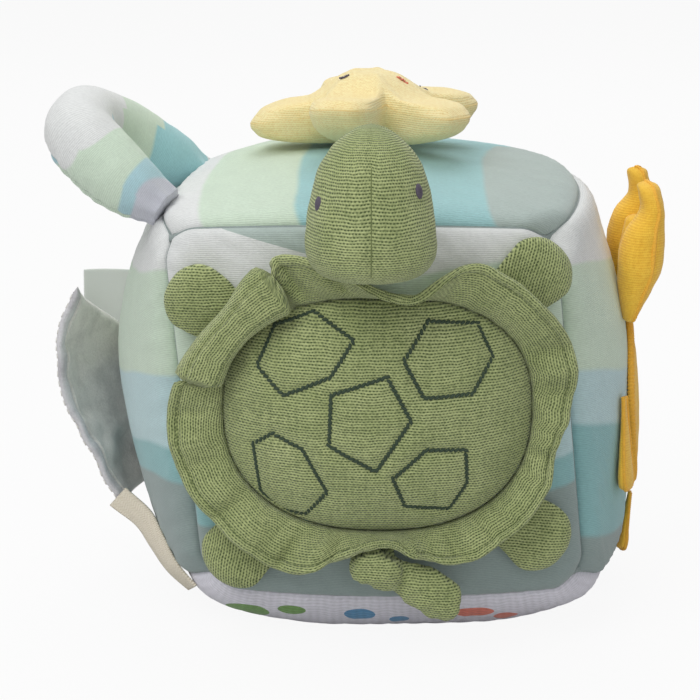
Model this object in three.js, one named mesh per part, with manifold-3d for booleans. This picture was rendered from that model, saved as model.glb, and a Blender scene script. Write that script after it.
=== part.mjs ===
// A soft activity block: a stuffed cube of sewn knit panels that carries a turtle on its front, a starfish on
// top, a padded hang loop, a peep flap with its tape and label, and a crab with raised claws on its right side.
// Millimetres, +Z up, the turtle faces -Y. The origin is on the flat resting face, under the block's middle.
import * as THREE from 'three';
import { mergeVertices } from 'three/addons/utils/BufferGeometryUtils.js';
import Module from 'manifold-3d';

const wasm = await Module();
wasm.setup();

// Clearances
const gap = 0.3;
const facetEase = 0.15;
const weld = 0.001;
const overrun = 40;

// The block: seam to seam, the crown of each stuffed face, the bow of its seams, and how it leans as it rests
const blockWidth = 140;
const blockDepth = 140;
const blockHeight = 133;
const sideCrown = 25;
const frontCrown = 20;
const backCrown = 20;
const topCrown = 16.5;
const sideSeamBow = 14;
const loopSeamBow = 6;
const topSeamBow = 4;
const lowerSeamHeight = 16;
const restingCut = 0.5;
const leanShare = -0.0985;
const rearCornerPull = 24;
const panelCloth = 1.6;

// The turtle: padded shell, gathered brim, head on its neck, feet and knotted tail
const muslin = 1.2;
const shellHeight = 87;
const shellHalfWidth = 53;
const shellHalfHeight = 41;
const shellPuff = 18;
const brimWidth = 20;
const brimLift = 15;
const brimCloth = 2.2;
const headBase = 136.8;
const headOffset = -2.6;
const headStandOff = 107;
const headWidth = 42.5;
const headDepth = 38;
const headLength = 52;
const neckHeight = 138;
const neckWidth = 20;
const neckThickness = 8;
const footReach = 82.5;
const footLength = 29;
const footWidth = 25;
const footThickness = 8.5;
const tailKnotSize = 15;
const tailHeight = 34;
const tailRootHeight = 43;
const tailStripWidth = 13;
const tailStripLength = 28;
const tailStripThickness = 4.6;

// The starfish on the top face
const terry = 1.4;
const starReach = 43;
const starNotch = 21;
const starUnderside = 10;
const starTopPuff = 17;
const starArmHalf = 7.5;
const starTipLift = 8;
const starRight = -2.5;
const starForwards = 5;

// The padded hang loop at the upper left seam
const loopThickness = 23;
const loopCloth = 1.4;
const loopReach = 32;
const loopRise = 25.5;
const loopFrontRoot = -50;
const loopRearRoot = 15;

// The peep flap, its label and its tape on the left face
const flapLow = 30;
const flapHeight = 86;
const flapDepth = 43;
const flapStandOff = 24;
const flapThickness = 4.4;
const flapCloth = 1.1;
const flapHemWidth = 6;
const flapHemThickness = 3;
const flapHingeDepth = 18;
const flapHingeHeight = 75;
const labelWidth = 18;
const labelHeight = 33;
const labelTop = 113;
const labelThickness = 0.8;
const labelSetBack = 5;
const tapeWidth = 10;
const tapeThickness = 1.2;
const tapeStart = 37;
const tapeEndHeight = 8.5;
const tapeEndDepth = 57;
const tapeTuck = 3.2;

// The crab on the right face
const crabHeight = 70;
const crabHalfWidth = 33;
const crabHalfHeight = 33;
const crabThickness = 2.2;
const crabEdgeWidth = 3;
const crabEdgeThickness = 3;
const clawClear = 1;
const clawSpread = 21;
const clawLength = 50;
const clawWidth = 17;
const clawThickness = 9.4;
const clawLean = 7;
const thumbLength = 27;
const thumbWidth = 10;
const thumbThickness = 7;
const thumbSetIn = 11;
const legHeight = 80;
const legSpread = 41;
const legLength = 34;
const legWidth = 13;
const legThickness = 3.4;
const legSeating = 0.6;
const lowLegSpread = 10;
const lowLegLength = 22;
const lowLegWidth = 12;

const colours = {
  paleGrey: 0xc8ccd0,
  mint: 0xb2cdb9,
  lightBlue: 0xa0c0c4,
  lilacWhite: 0xcbcbd7,
  muslinGreen: 0x94a866,
  starYellow: 0xf1dfa0,
  ochre: 0xe0a430,
  satinOchre: 0xc98a22,
  flapGrey: 0x8c918c,
  labelGrey: 0xbcc2bd,
  tapeCream: 0xe1d4be,
  wadding: 0xf2f2ee,
};

const { sin, cos, abs, sign, max, min, PI, hypot } = Math;
const point = (x, y, z) => new THREE.Vector3(x, y, z);
const mix = (a, b, share) => a + (b - a) * share;
const held = (t) => min(max(t, 0), 1);
const radians = THREE.MathUtils.degToRad;
const group = new THREE.Group();

function addPiece(name, geometry, colour) {
  const material = new THREE.MeshStandardMaterial({ color: colour, roughness: 0.95, metalness: 0 });
  const mesh = new THREE.Mesh(geometry, material);
  mesh.name = name;
  group.add(mesh);
}

// A smooth value through a row of shares at even steps from 0 to 1
function shareAt(shares, t) {
  const place = held(t) * (shares.length - 1);
  const i = min(Math.floor(place), shares.length - 2);
  const f = place - i;
  const [q, r] = [shares[i], shares[i + 1]];
  const p = shares[i - 1] ?? q;
  const s = shares[i + 2] ?? r;
  return q + 0.5 * f * (r - p + f * (2 * p - 5 * q + 4 * r - s + f * (3 * (q - r) + s - p)));
}

// Welds loose triangle corners into one closed body whose faces point outwards
function closedBody(corners) {
  const loose = new THREE.BufferGeometry();
  const places = corners.flatMap((p) => [p.x, p.y, p.z]);
  loose.setAttribute('position', new THREE.Float32BufferAttribute(places, 3));
  const body = mergeVertices(loose, weld);
  const all = body.index.array;
  const kept = [];
  for (let i = 0; i < all.length; i += 3) {
    const [a, b, c] = [all[i], all[i + 1], all[i + 2]];
    if (a !== b && b !== c && a !== c) kept.push(a, b, c);
  }
  const at = body.getAttribute('position');
  const corner = (i) => new THREE.Vector3().fromBufferAttribute(at, i);
  let volume = 0;
  for (let i = 0; i < kept.length; i += 3) {
    volume += corner(kept[i]).dot(corner(kept[i + 1]).cross(corner(kept[i + 2])));
  }
  if (volume < 0) {
    for (let i = 0; i < kept.length; i += 3) [kept[i], kept[i + 1]] = [kept[i + 1], kept[i]];
  }
  body.setIndex(kept);
  return body;
}

// A layer of cloth between two surfaces of u and v, closed along its edges. A round one meets itself in u.
function layer(outer, inner, uSteps, vSteps, round = false) {
  const corners = [];
  const quad = (a, b, c, d) => corners.push(a, b, c, a, c, d);
  const across = (i) => (round ? (i % uSteps) / uSteps : i / uSteps);
  for (let i = 0; i < uSteps; i += 1) {
    const [u0, u1] = [across(i), across(i + 1)];
    for (let j = 0; j < vSteps; j += 1) {
      const [v0, v1] = [j / vSteps, (j + 1) / vSteps];
      quad(outer(u0, v0), outer(u1, v0), outer(u1, v1), outer(u0, v1));
      quad(inner(u0, v0), inner(u0, v1), inner(u1, v1), inner(u1, v0));
    }
    quad(outer(u1, 0), outer(u0, 0), inner(u0, 0), inner(u1, 0));
    quad(outer(u0, 1), outer(u1, 1), inner(u1, 1), inner(u0, 1));
  }
  for (let j = 0; j < vSteps && !round; j += 1) {
    const [v0, v1] = [j / vSteps, (j + 1) / vSteps];
    quad(outer(0, v0), outer(0, v1), inner(0, v1), inner(0, v0));
    quad(outer(1, v1), outer(1, v0), inner(1, v0), inner(1, v1));
  }
  return closedBody(corners);
}

// A full form of rings of one surface, closed over its first and last ring
function fullForm(surface, uSteps, vSteps) {
  const corners = [];
  const rings = Array.from({ length: vSteps + 1 }, (_, j) =>
    Array.from({ length: uSteps }, (__, i) => surface(i / uSteps, j / vSteps)),
  );
  for (let j = 0; j < vSteps; j += 1) {
    for (let i = 0; i < uSteps; i += 1) {
      const next = (i + 1) % uSteps;
      const [a, b, c, d] = [rings[j][i], rings[j][next], rings[j + 1][next], rings[j + 1][i]];
      corners.push(a, b, c, a, c, d);
    }
  }
  const first = rings[0];
  const last = rings[vSteps];
  const middle = (ring) => ring.reduce((sum, p) => sum.add(p), point(0, 0, 0)).divideScalar(uSteps);
  const [low, high] = [middle(first), middle(last)];
  for (let i = 0; i < uSteps; i += 1) {
    const next = (i + 1) % uSteps;
    corners.push(low, first[next], first[i], high, last[i], last[next]);
  }
  return closedBody(corners);
}

// The two faces of a layer that lies between two distances from a middle surface
function layerFaces(middle, low, high) {
  const step = 0.002;
  const face = (distance) => (u, v) => {
    const du = middle(u + step, v).sub(middle(u - step, v));
    const dv = middle(u, v + step).sub(middle(u, v - step));
    return middle(u, v).addScaledVector(du.cross(dv).normalize(), distance);
  };
  return [face(high), face(low)];
}

function solidOf(geometry) {
  const vertProperties = new Float32Array(geometry.getAttribute('position').array);
  const triVerts = new Uint32Array(geometry.index.array);
  return new wasm.Manifold(new wasm.Mesh({ numProp: 3, vertProperties, triVerts }));
}

function geometryOf(solid) {
  const { vertProperties, triVerts } = solid.getMesh();
  const geometry = new THREE.BufferGeometry();
  geometry.setAttribute('position', new THREE.BufferAttribute(vertProperties, 3));
  geometry.setIndex(new THREE.BufferAttribute(triVerts, 1));
  return geometry;
}

function weldedPrimitive(geometry) {
  geometry.deleteAttribute('normal');
  geometry.deleteAttribute('uv');
  return mergeVertices(geometry, weld);
}

const joined = (...parts) => geometryOf(parts.map(solidOf).reduce((sum, part) => sum.add(part)));
const cutBy = (body, ...cutters) =>
  geometryOf(cutters.map(solidOf).reduce((rest, cutter) => rest.subtract(cutter), solidOf(body)));

// The stuffed block. Its level seams bow out between the corners and its upright seams stay straight. The loop
// draws its upper left corner in at the back.
const half = point(blockWidth / 2, blockDepth / 2, blockHeight / 2);
const seamMiddle = lowerSeamHeight + half.z;
const upperSeamHeight = lowerSeamHeight + blockHeight;
const restingCrown = lowerSeamHeight + restingCut;
const faces = {
  front: { out: point(0, -1, 0), across: point(1, 0, 0), up: point(0, 0, 1) },
  back: { out: point(0, 1, 0), across: point(-1, 0, 0), up: point(0, 0, 1) },
  left: { out: point(-1, 0, 0), across: point(0, -1, 0), up: point(0, 0, 1) },
  right: { out: point(1, 0, 0), across: point(0, 1, 0), up: point(0, 0, 1) },
  top: { out: point(0, 0, 1), across: point(1, 0, 0), up: point(0, 1, 0) },
  bottom: { out: point(0, 0, -1), across: point(1, 0, 0), up: point(0, -1, 0) },
};
const crownPower = 0.85;
const restingPower = 4;
const swell = (t) => max(0, 1 - t * t) ** crownPower;
const restingSwell = (t) => max(0, 1 - abs(t) ** restingPower);
const leanAt = (height) => leanShare * (height - seamMiddle);

// How far the stuffing pushes out a place on a cube that runs from -1 to 1
function pushedOut(q) {
  const [sx, sy, sz] = [swell(q.x), swell(q.y), swell(q.z)];
  const seam = (q.x < 0 && q.z > 0 ? loopSeamBow : sideSeamBow) * (1 - sz);
  const faceSeam = sideSeamBow * (1 - sz);
  const x = sy * (sideCrown * sz + seam);
  const y = sx * ((q.y < 0 ? frontCrown : backCrown) * sz + faceSeam);
  const top = topCrown * sx * sy + topSeamBow * (sx + sy - 2 * sx * sy);
  const resting = restingCrown * restingSwell(q.x) * restingSwell(q.y);
  const z = q.z > 0 ? top : resting;
  const drawnIn = q.x < 0 && q.z > 0 ? (rearCornerPull * (q.x * q.z) ** 2 * (1 + q.y)) / 2 : 0;
  return point(x * q.x * abs(q.x) + drawnIn, y * q.y * abs(q.y), z * q.z * abs(q.z));
}

// A point of one face, u and v from 0 to 1 across it, set in by a distance and drawn back at its seams
function facePoint(face, u, v, setIn = 0, seamGap = 0) {
  const q = face.out.clone();
  q.addScaledVector(face.across, 2 * u - 1).addScaledVector(face.up, 2 * v - 1);
  const p = pushedOut(q);
  for (const axis of ['x', 'y', 'z']) {
    const drawnBack = abs(face.out[axis]) > 0 ? 0 : seamGap;
    p[axis] += q[axis] * (half[axis] - setIn - drawnBack);
  }
  p.z += seamMiddle;
  p.x += leanAt(p.z);
  return p;
}

// The place on a face's outside in line with a target, and the way the face looks there
function seatOn(face, target) {
  const tries = 14;
  const step = 0.004;
  let [u, v] = [0.5, 0.5];
  for (let i = 0; i < tries; i += 1) {
    const miss = target.clone().sub(facePoint(face, u, v));
    u = held(u + miss.dot(face.across) / (2 * abs(half.dot(face.across))));
    v = held(v + miss.dot(face.up) / (2 * abs(half.dot(face.up))));
  }
  const du = facePoint(face, min(u + step, 1), v).sub(facePoint(face, max(u - step, 0), v));
  const dv = facePoint(face, u, min(v + step, 1)).sub(facePoint(face, u, max(v - step, 0)));
  const normal = du.cross(dv).normalize();
  if (normal.dot(face.out) < 0) normal.negate();
  return { place: facePoint(face, u, v), normal };
}
const frontAt = (x, z) => seatOn(faces.front, point(x, 0, z)).place.y;

function makeBlock() {
  const steps = 8;
  const seamGap = gap / Math.SQRT2;
  const looks = {
    front: colours.mint,
    back: colours.mint,
    left: colours.lightBlue,
    right: colours.lightBlue,
    top: colours.paleGrey,
    bottom: colours.lilacWhite,
  };
  const floor = new THREE.BoxGeometry(blockWidth + overrun, blockDepth + overrun, overrun);
  floor.translate(0, 0, -overrun / 2);
  const floorSlab = weldedPrimitive(floor);
  const filling = [];
  for (const [side, face] of Object.entries(faces)) {
    const outer = (u, v) => facePoint(face, u, v, 0, seamGap);
    const inner = (u, v) => facePoint(face, u, v, panelCloth, seamGap);
    const panel = layer(outer, inner, steps, steps);
    addPiece(`${side}_panel`, side === 'bottom' ? cutBy(panel, floorSlab) : panel, looks[side]);
    for (let i = 0; i < steps * steps; i += 1) {
      const [column, row] = [i % steps, Math.floor(i / steps)];
      const at = (k, l) => facePoint(face, (column + k) / steps, (row + l) / steps, panelCloth + gap);
      filling.push(at(0, 0), at(1, 0), at(1, 1), at(0, 0), at(1, 1), at(0, 1));
    }
  }
  addPiece('block_filling', closedBody(filling), colours.wadding);
}

// The turtle's padded shell, in rings from its middle to its sewn edge
function shellPlace(u, v, lift) {
  const x = shellHalfWidth * v * cos(2 * PI * u);
  const z = shellHeight + shellHalfHeight * v * sin(2 * PI * u);
  return point(x, frontAt(x, z) - gap - facetEase - lift, z);
}

function makeShell() {
  const [around, rings] = [28, 4];
  const puffPower = 0.7;
  const tuckShare = 0.4;
  const rise = (v) => (shellPuff - muslin) * swell(v) ** puffPower;
  const spaced = (v) => sin((PI / 2) * v);
  const outer = (u, v) => shellPlace(u, spaced(v), muslin + rise(spaced(v)));
  const inner = (u, v) => shellPlace(u, spaced(v), rise(spaced(v)));
  addPiece('shell_cover', layer(outer, inner, around, rings, true), colours.muslinGreen);
  const front = tucked((u, v) => inner(u, v).add(point(0, gap + facetEase, 0)), rings, 0, tuckShare);
  const back = tucked((u, v) => shellPlace(u, spaced(v), 0), rings, 0, tuckShare);
  addPiece('shell_filling', layer(front, back, around, rings, true), colours.wadding);
}

// The brim's width and lift shares at even steps round the shell, from its right over its top
const brimWidthShares = [
  0.62, 0.85, 0.94, 0.96, 0.98, 0.9, 0.12, 0.08, 0.1, 0.3, 0.95, 0.98, 0.88, 0.87, 0.87, 0.93,
  1, 1.02, 0.98, 0.96, 0.92, 0.3, 0.02, -0.05, 0.3, 0.74, 0.74, 0.72, 0.69, 0.5, 0.62,
];
const brimLiftShares = [
  0.55, 0.5, 0.62, 0.74, 0.78, 0.74, 0.94, 1, 0.98, 0.94, 0.74, 0.76, 0.92, 0.9, 0.6, 0.44,
  0.44, 0.58, 0.7, 0.8, 0.72, 0.82, 0.74, 0.68, 0.8, 0.76, 0.8, 0.82, 0.62, 0.6, 0.55,
];
const brimBow = 0.55;

function brimMiddle(u, v) {
  const turn = u - Math.floor(u);
  const angle = 2 * PI * turn;
  const sewn = 1 / hypot(cos(angle) / shellHalfWidth, sin(angle) / shellHalfHeight) + gap + brimCloth / 2;
  const reach = sewn + brimWidth * v * shareAt(brimWidthShares, turn);
  const lift = gap + brimCloth + (brimLift - brimCloth) * shareAt(brimLiftShares, turn) * max(v, 0) ** brimBow;
  const [x, z] = [reach * cos(angle), shellHeight + reach * sin(angle)];
  const sewnSeat = frontAt(sewn * cos(angle), shellHeight + sewn * sin(angle));
  return point(x, mix(sewnSeat, frontAt(x, z), held(v) / 2) - lift, z);
}

function makeBrim() {
  const [around, rings] = [54, 3];
  const [outer, inner] = layerFaces(brimMiddle, -brimCloth / 2, brimCloth / 2);
  addPiece('shell_brim', layer(outer, inner, around, rings, true), colours.muslinGreen);
}

// A stuffed limb about a line, widest across its side direction. Its shares run from its root to its tip, and
// what lies inside it is drawn in from its closed ends as well.
function makeForm({ line, side, front, halfWidth, halfThickness, widthShares, thicknessShares = widthShares }) {
  const [endRoomShare, growShare] = [1.2, 1.6];
  const anchor = line(widthShares[0] > 0 ? 0 : 1 / 2);
  const reach = anchor.distanceTo(line(1));
  const surface = (turn, v, setIn) => {
    const wide = halfWidth * max(0, shareAt(widthShares, v)) - setIn;
    const thick = halfThickness * max(0, shareAt(thicknessShares, v)) - setIn;
    const angle = 2 * PI * turn;
    const p = line(v).lerp(anchor, (endRoomShare * setIn) / reach);
    if (min(wide, thick) <= 0) return p;
    return p.addScaledVector(side, wide * cos(angle)).addScaledVector(front, thick * sin(angle));
  };
  const grown = (uSteps, vSteps) => fullForm((u, v) => surface(u, v, -growShare * gap), uSteps, vSteps);
  return { surface, front, grown };
}

// Draws the first and last ring of a form in from its ends, along its own facets
function tucked(surface, rings, firstShare, lastShare) {
  const step = 1 / rings;
  return (u, v) => {
    if (v === 0) return surface(u, 0).lerp(surface(u, step), firstShare);
    if (v === 1) return surface(u, 1).lerp(surface(u, 1 - step), lastShare);
    return surface(u, v);
  };
}

// The two cover halves of a limb, which meet at a seam along both its sides, and the wadding inside them
function addStuffedLimb(names, form, cloth, colour, { around = 10, rings = 6 } = {}) {
  const rootTuckShare = 0.3;
  const wadding = (u, v) => form.surface(u, v, cloth + gap + facetEase);
  for (const [name, start, way] of [[names[0], 0, 1], [names[1], 0.5, -1]]) {
    const face = (setIn) => (u, v) =>
      form.surface(start + u / 2, v, setIn).addScaledVector(form.front, (way * gap) / 2);
    addPiece(name, layer(face(0), face(cloth), around / 2, rings), colour);
  }
  const inside = tucked(wadding, rings, rootTuckShare, 0);
  addPiece(names[2], fullForm(inside, around, rings), colours.wadding);
}

// The head is an egg that stands on its flat base, with a seam down its middle
function makeHead() {
  const eggShares = [0, 0.7, 0.98, 1, 0.94, 0.83, 0.6, 0.29, 0];
  const base = point(headOffset, -headStandOff, headBase);
  const upwards = (v) => (1 - cos(PI * held(v))) / 2;
  const form = makeForm({
    line: (v) => base.clone().add(point(0, 0, headLength * upwards(v))),
    side: point(0, 1, 0),
    front: point(1, 0, 0),
    halfWidth: headDepth / 2,
    halfThickness: headWidth / 2,
    widthShares: eggShares,
  });
  const names = ['head_right_cover', 'head_left_cover', 'head_filling'];
  addStuffedLimb(names, form, muslin, colours.muslinGreen, { around: 14, rings: 8 });
  const seat = seatOn(faces.front, point(headOffset, 0, neckHeight));
  const root = seat.place.clone().addScaledVector(seat.normal, gap + 2 * facetEase);
  const neck = makeForm({
    line: (v) => root.clone().lerp(base.clone().add(point(0, 0, headLength / 4)), v),
    side: point(1, 0, 0),
    front: point(0, 0, 1),
    halfWidth: neckWidth / 2,
    halfThickness: neckThickness / 2,
    widthShares: [0.75, 0.9, 1, 1],
    thicknessShares: [0.5, 0.8, 1, 1],
  });
  const stub = fullForm((u, v) => neck.surface(u, v, 0), 12, 3);
  addPiece('head_neck', cutBy(stub, form.grown(14, 8)), colours.muslinGreen);
}

// Four flat stuffed feet, sewn in under the brim, whose undersides lie along the front face
const footThicknessShares = [0.36, 0.46, 0.7, 0.94, 1, 0.66, 0];
const footLiftShares = [0.36, 0.46, 0.7, 0.94, 1, 1, 1];
// Each foot's way out from the shell's middle, in shares of a full turn
const footTurnShares = { upper_left: 0.411, upper_right: 0.114, lower_left: 0.6306, lower_right: 0.8903 };

function makeFeet() {
  for (const [corner, turnShare] of Object.entries(footTurnShares)) {
    const way = point(cos(2 * PI * turnShare), 0, sin(2 * PI * turnShare));
    const rootPlace = way.clone().multiplyScalar(footReach - footLength * 0.8);
    const seat = seatOn(faces.front, rootPlace.add(point(0, 0, shellHeight)));
    const out = way.clone().addScaledVector(seat.normal, -way.dot(seat.normal)).normalize();
    const startPlace = seat.place.clone().addScaledVector(out, -footLength * 0.2);
    startPlace.addScaledVector(seat.normal, gap + facetEase);
    const form = makeForm({
      line: (v) => startPlace.clone()
        .addScaledVector(out, footLength * sin((PI / 2) * v))
        .addScaledVector(seat.normal, (footThickness / 2) * shareAt(footLiftShares, v)),
      side: out.clone().cross(seat.normal),
      front: seat.normal,
      halfWidth: footWidth / 2,
      halfThickness: footThickness / 2,
      widthShares: [0.76, 0.86, 0.98, 1, 0.78, 0.45, 0],
      thicknessShares: footThicknessShares,
    });
    const names = ['front', 'back', 'filling'].map((part) => `foot_${corner}_${part}`);
    addStuffedLimb(names, form, muslin, colours.muslinGreen);
  }
}

// The tail is one strip: its root, the lumps of its knot and its loose end, joined as the knot joins them
function makeTail() {
  const rootSeat = seatOn(faces.front, point(headOffset + tailStripWidth / 2, 0, tailRootHeight)).place;
  const knotSeat = seatOn(faces.front, point(0, 0, tailHeight)).place;
  const knotRadius = tailKnotSize / 2;
  const knotCentre = knotSeat.clone().add(point(0, -gap - knotRadius, 0));
  const lump = (rightShare, upShare, sizeShare) => {
    const ball = weldedPrimitive(new THREE.SphereGeometry(1, 10, 7));
    ball.scale(knotRadius * sizeShare, knotRadius * sizeShare * 0.85, knotRadius * sizeShare * 0.8);
    ball.translate(knotCentre.x + knotRadius * rightShare, knotCentre.y, knotCentre.z + knotRadius * upShare);
    return ball;
  };
  const strapThicknessShares = [0.6, 1, 1, 1];
  const rootOff = gap + facetEase + (tailStripThickness / 2) * strapThicknessShares[0];
  const strapRoot = rootSeat.clone().add(point(0, -rootOff, -tailStripThickness / 2));
  const strap = makeForm({
    line: (v) => strapRoot.clone().lerp(knotCentre, v),
    side: point(1, 0, 0),
    front: point(0, -1, 0),
    halfWidth: tailStripWidth / 2,
    halfThickness: tailStripThickness / 2,
    widthShares: [0.5, 0.7, 0.8, 0.7],
    thicknessShares: strapThicknessShares,
  });
  const droop = radians(-33);
  const endWay = point(cos(droop), -0.08, sin(droop)).normalize();
  const looseEnd = makeForm({
    line: (v) => knotCentre.clone().addScaledVector(endWay, tailStripLength * sin((PI / 2) * held(v))),
    side: endWay.clone().cross(point(0, 1, 0)).normalize(),
    front: point(0, -1, 0),
    halfWidth: tailStripWidth / 2,
    halfThickness: tailStripThickness / 2,
    widthShares: [0.6, 0.7, 0.95, 1, 0.9, 0.6, 0],
  });
  const tail = joined(
    lump(-0.55, 0.25, 0.95),
    lump(0.2, -0.2, 1.05),
    lump(0.35, 0.5, 0.7),
    fullForm((u, v) => strap.surface(u, v, 0), 10, 3),
    fullForm((u, v) => looseEnd.surface(u, v, 0), 10, 6),
  );
  addPiece('turtle_tail', tail, colours.muslinGreen);
}

// The starfish: arm directions in degrees, and the share of the tip lift that each arm has
const starArms = [
  [28, 0.3],
  [100, 0.8],
  [176, -0.35],
  [255, 1],
  [318, 0.4],
];
const starArmShares = [1, 0.97, 0.62, 0.14, 0];

function starOutline(turn) {
  const count = starArms.length;
  const place = (turn - Math.floor(turn)) * count * 2;
  const i = Math.floor(place / 2) % count;
  const [from, fromLift] = starArms[i];
  const [next, nextLift] = starArms[(i + 1) % count];
  const to = next > from ? next : next + 360;
  const share = place / 2 - Math.floor(place / 2);
  const offTip = 1 - abs(1 - 2 * share);
  const reachShare = shareAt(starArmShares, offTip);
  return {
    angle: radians(mix(from, to, share)),
    reach: mix(starNotch, starReach, reachShare),
    lift: starTipLift * mix(fromLift, nextLift, share * share * (3 - 2 * share)),
  };
}

function makeStar() {
  const [around, rings] = [40, 4];
  const tipTuckShare = 0.3;
  const seat = seatOn(faces.top, point(starRight, -starForwards, 0)).place;
  const seamHeight = seat.z + gap + starUnderside;
  const surface = (u, ring, way, setIn) => {
    const { angle, reach, lift } = starOutline(u);
    const v = sin((PI / 2) * ring);
    const spread = max(0, reach - setIn * 1.4) * v;
    const arm = max(0, starArmHalf - setIn) * Math.sqrt(1 - v ** 4);
    const bodyPuff = (way > 0 ? starTopPuff : starUnderside) - starArmHalf;
    const z = seamHeight + lift * v * v + way * (arm + bodyPuff * (1 - v) ** 2 * (1 + v));
    return point(starRight + spread * cos(angle), spread * sin(angle) - starForwards, z);
  };
  for (const [name, way] of [['starfish_top', 1], ['starfish_underside', -1]]) {
    const apart = point(0, 0, (way * gap) / 2);
    const outer = (u, v) => surface(u, v, way, 0).add(apart);
    const inner = (u, v) => surface(u, v, way, terry).add(apart);
    addPiece(name, layer(outer, inner, around, rings, true), colours.starYellow);
  }
  const high = tucked((u, v) => surface(u, v, 1, terry + 2 * gap), rings, 0, tipTuckShare);
  const low = tucked((u, v) => surface(u, v, -1, terry + 2 * gap), rings, 0, tipTuckShare);
  addPiece('starfish_filling', layer(high, low, around, rings, true), colours.wadding);
}

// The hang loop's path in shares of its reach, its span and its rise, from its front root to its rear root
const loopPathShares = [
  [0, 0, 0],
  [0.48, 0.05, 0.37],
  [0.97, 0.22, 0.89],
  [1, 0.5, 1],
  [0.84, 0.8, 0.66],
  [0.45, 0.93, 0.3],
  [0, 1, 0],
];
const loopWidthShares = [0.5, 0.8, 0.97, 1, 1, 1, 1, 1, 0.97, 0.8, 0.5];
const loopThicknessShares = [0.2, 0.62, 0.92, 1, 1, 1, 1, 1, 0.92, 0.62, 0.2];

function makeLoop() {
  const [around, rings] = [10, 18];
  const tuckShare = 0.3;
  const nearShare = 0.95;
  const rootAway = (gap + (loopThickness / 2) * loopThicknessShares[0] * nearShare) / Math.SQRT2;
  const rootAt = (y) => facePoint(faces.top, 0, 0.5 + y / blockDepth).add(point(-rootAway, 0, rootAway));
  const [frontRoot, rearRoot] = [rootAt(loopFrontRoot), rootAt(loopRearRoot)];
  const places = loopPathShares.map(([out, along, up]) =>
    frontRoot.clone().lerp(rearRoot, along).add(point(-loopReach * out, 0, loopRise * up)),
  );
  const path = new THREE.CatmullRomCurve3(places, false, 'centripetal');
  const outwards = point(-loopRise, 0, -loopReach).normalize();
  const surface = (u, v, setIn) => {
    const ahead = path.getTangentAt(v);
    const one = ahead.clone().cross(outwards).normalize();
    const two = one.clone().cross(ahead).normalize();
    const wide = max(0, (loopThickness / 2) * shareAt(loopWidthShares, v) - setIn);
    const thick = max(0, (loopThickness / 2) * shareAt(loopThicknessShares, v) - setIn);
    const angle = 2 * PI * u;
    return path.getPointAt(v).addScaledVector(one, wide * cos(angle)).addScaledVector(two, thick * sin(angle));
  };
  const outer = (u, v) => surface(u, v, 0);
  const inner = (u, v) => surface(u, v, loopCloth);
  addPiece('loop_cover', layer(outer, inner, around, rings, true), colours.mint);
  const wadding = (u, v) => surface(u, v, loopCloth + gap + 2 * facetEase);
  const filling = fullForm(tucked(wadding, rings, tuckShare, tuckShare), around, rings);
  addPiece('loop_filling', filling, colours.wadding);
}

// The peep flap: two layers of cloth with wadding between them, and a turned hem along its free edge. It lies
// along the left face below its hinge's middle, and stands straight up above it.
const flapEdgeShares = [0.3, 0.5, 0.7, 0.84, 0.95, 0.74, 0.4];
const flapHingeLowShare = 0.03;
const flapHingeHighShare = 0.73;
const flapRootAt = (z) => seatOn(faces.left, point(0, flapHingeDepth, z)).place.x - gap - flapThickness / 2;

function flapMiddle(u, v) {
  const hingeShare = mix(flapHingeLowShare, flapHingeHighShare, v);
  const z = flapLow + flapHeight * mix(hingeShare, v, max(u, 0) ** 0.8);
  const standOff = flapStandOff * (shareAt(flapEdgeShares, v) * u + 0.16 * sin(PI * u));
  const forwards = flapDepth * u * (0.9 + 0.1 * sin(PI * held(v)));
  const above = max(0, z - flapHingeHeight);
  return point(flapRootAt(z - above) + leanShare * above - standOff, flapHingeDepth - forwards, z);
}

function makeFlap() {
  const [uSteps, vSteps] = [6, 8];
  const hemShare = 1 - flapHemWidth / hypot(flapDepth, flapStandOff);
  const endShare = hemShare - (2 * gap) / hypot(flapDepth, flapStandOff);
  const halfWadding = flapThickness / 2 - flapCloth - gap;
  const layers = [
    ['flap_outer_cloth', flapThickness / 2 - flapCloth, flapThickness / 2, colours.flapGrey],
    ['flap_wadding', -halfWadding, halfWadding, colours.wadding],
    ['flap_inner_cloth', -flapThickness / 2, flapCloth - flapThickness / 2, colours.flapGrey],
  ];
  for (const [name, low, high, colour] of layers) {
    const [outer, inner] = layerFaces((u, v) => flapMiddle(u * endShare, v), low, high);
    addPiece(name, layer(outer, inner, uSteps, vSteps), colour);
  }
  const hemMiddle = (u, v) => flapMiddle(mix(hemShare, 1, u), v);
  const [outer, inner] = layerFaces(hemMiddle, -flapHemThickness / 2, flapHemThickness / 2);
  addPiece('flap_hem', layer(outer, inner, 2, vSteps * 2), colours.flapGrey);
}

function makeLabel() {
  const depth = flapHingeDepth + labelSetBack;
  const seats = [labelTop, labelTop - labelHeight].map((z) => seatOn(faces.left, point(0, depth, z)).place.x);
  const rootX = min(...seats) - gap - labelThickness / 2;
  const curl = labelThickness * 2;
  const middle = (u, v) =>
    point(rootX - labelWidth * u, depth + curl * sin(PI * held(u)), labelTop - labelHeight * (1 - v));
  const [outer, inner] = layerFaces(middle, -labelThickness / 2, labelThickness / 2);
  addPiece('care_label', layer(outer, inner, 4, 2), colours.labelGrey);
}

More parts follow.
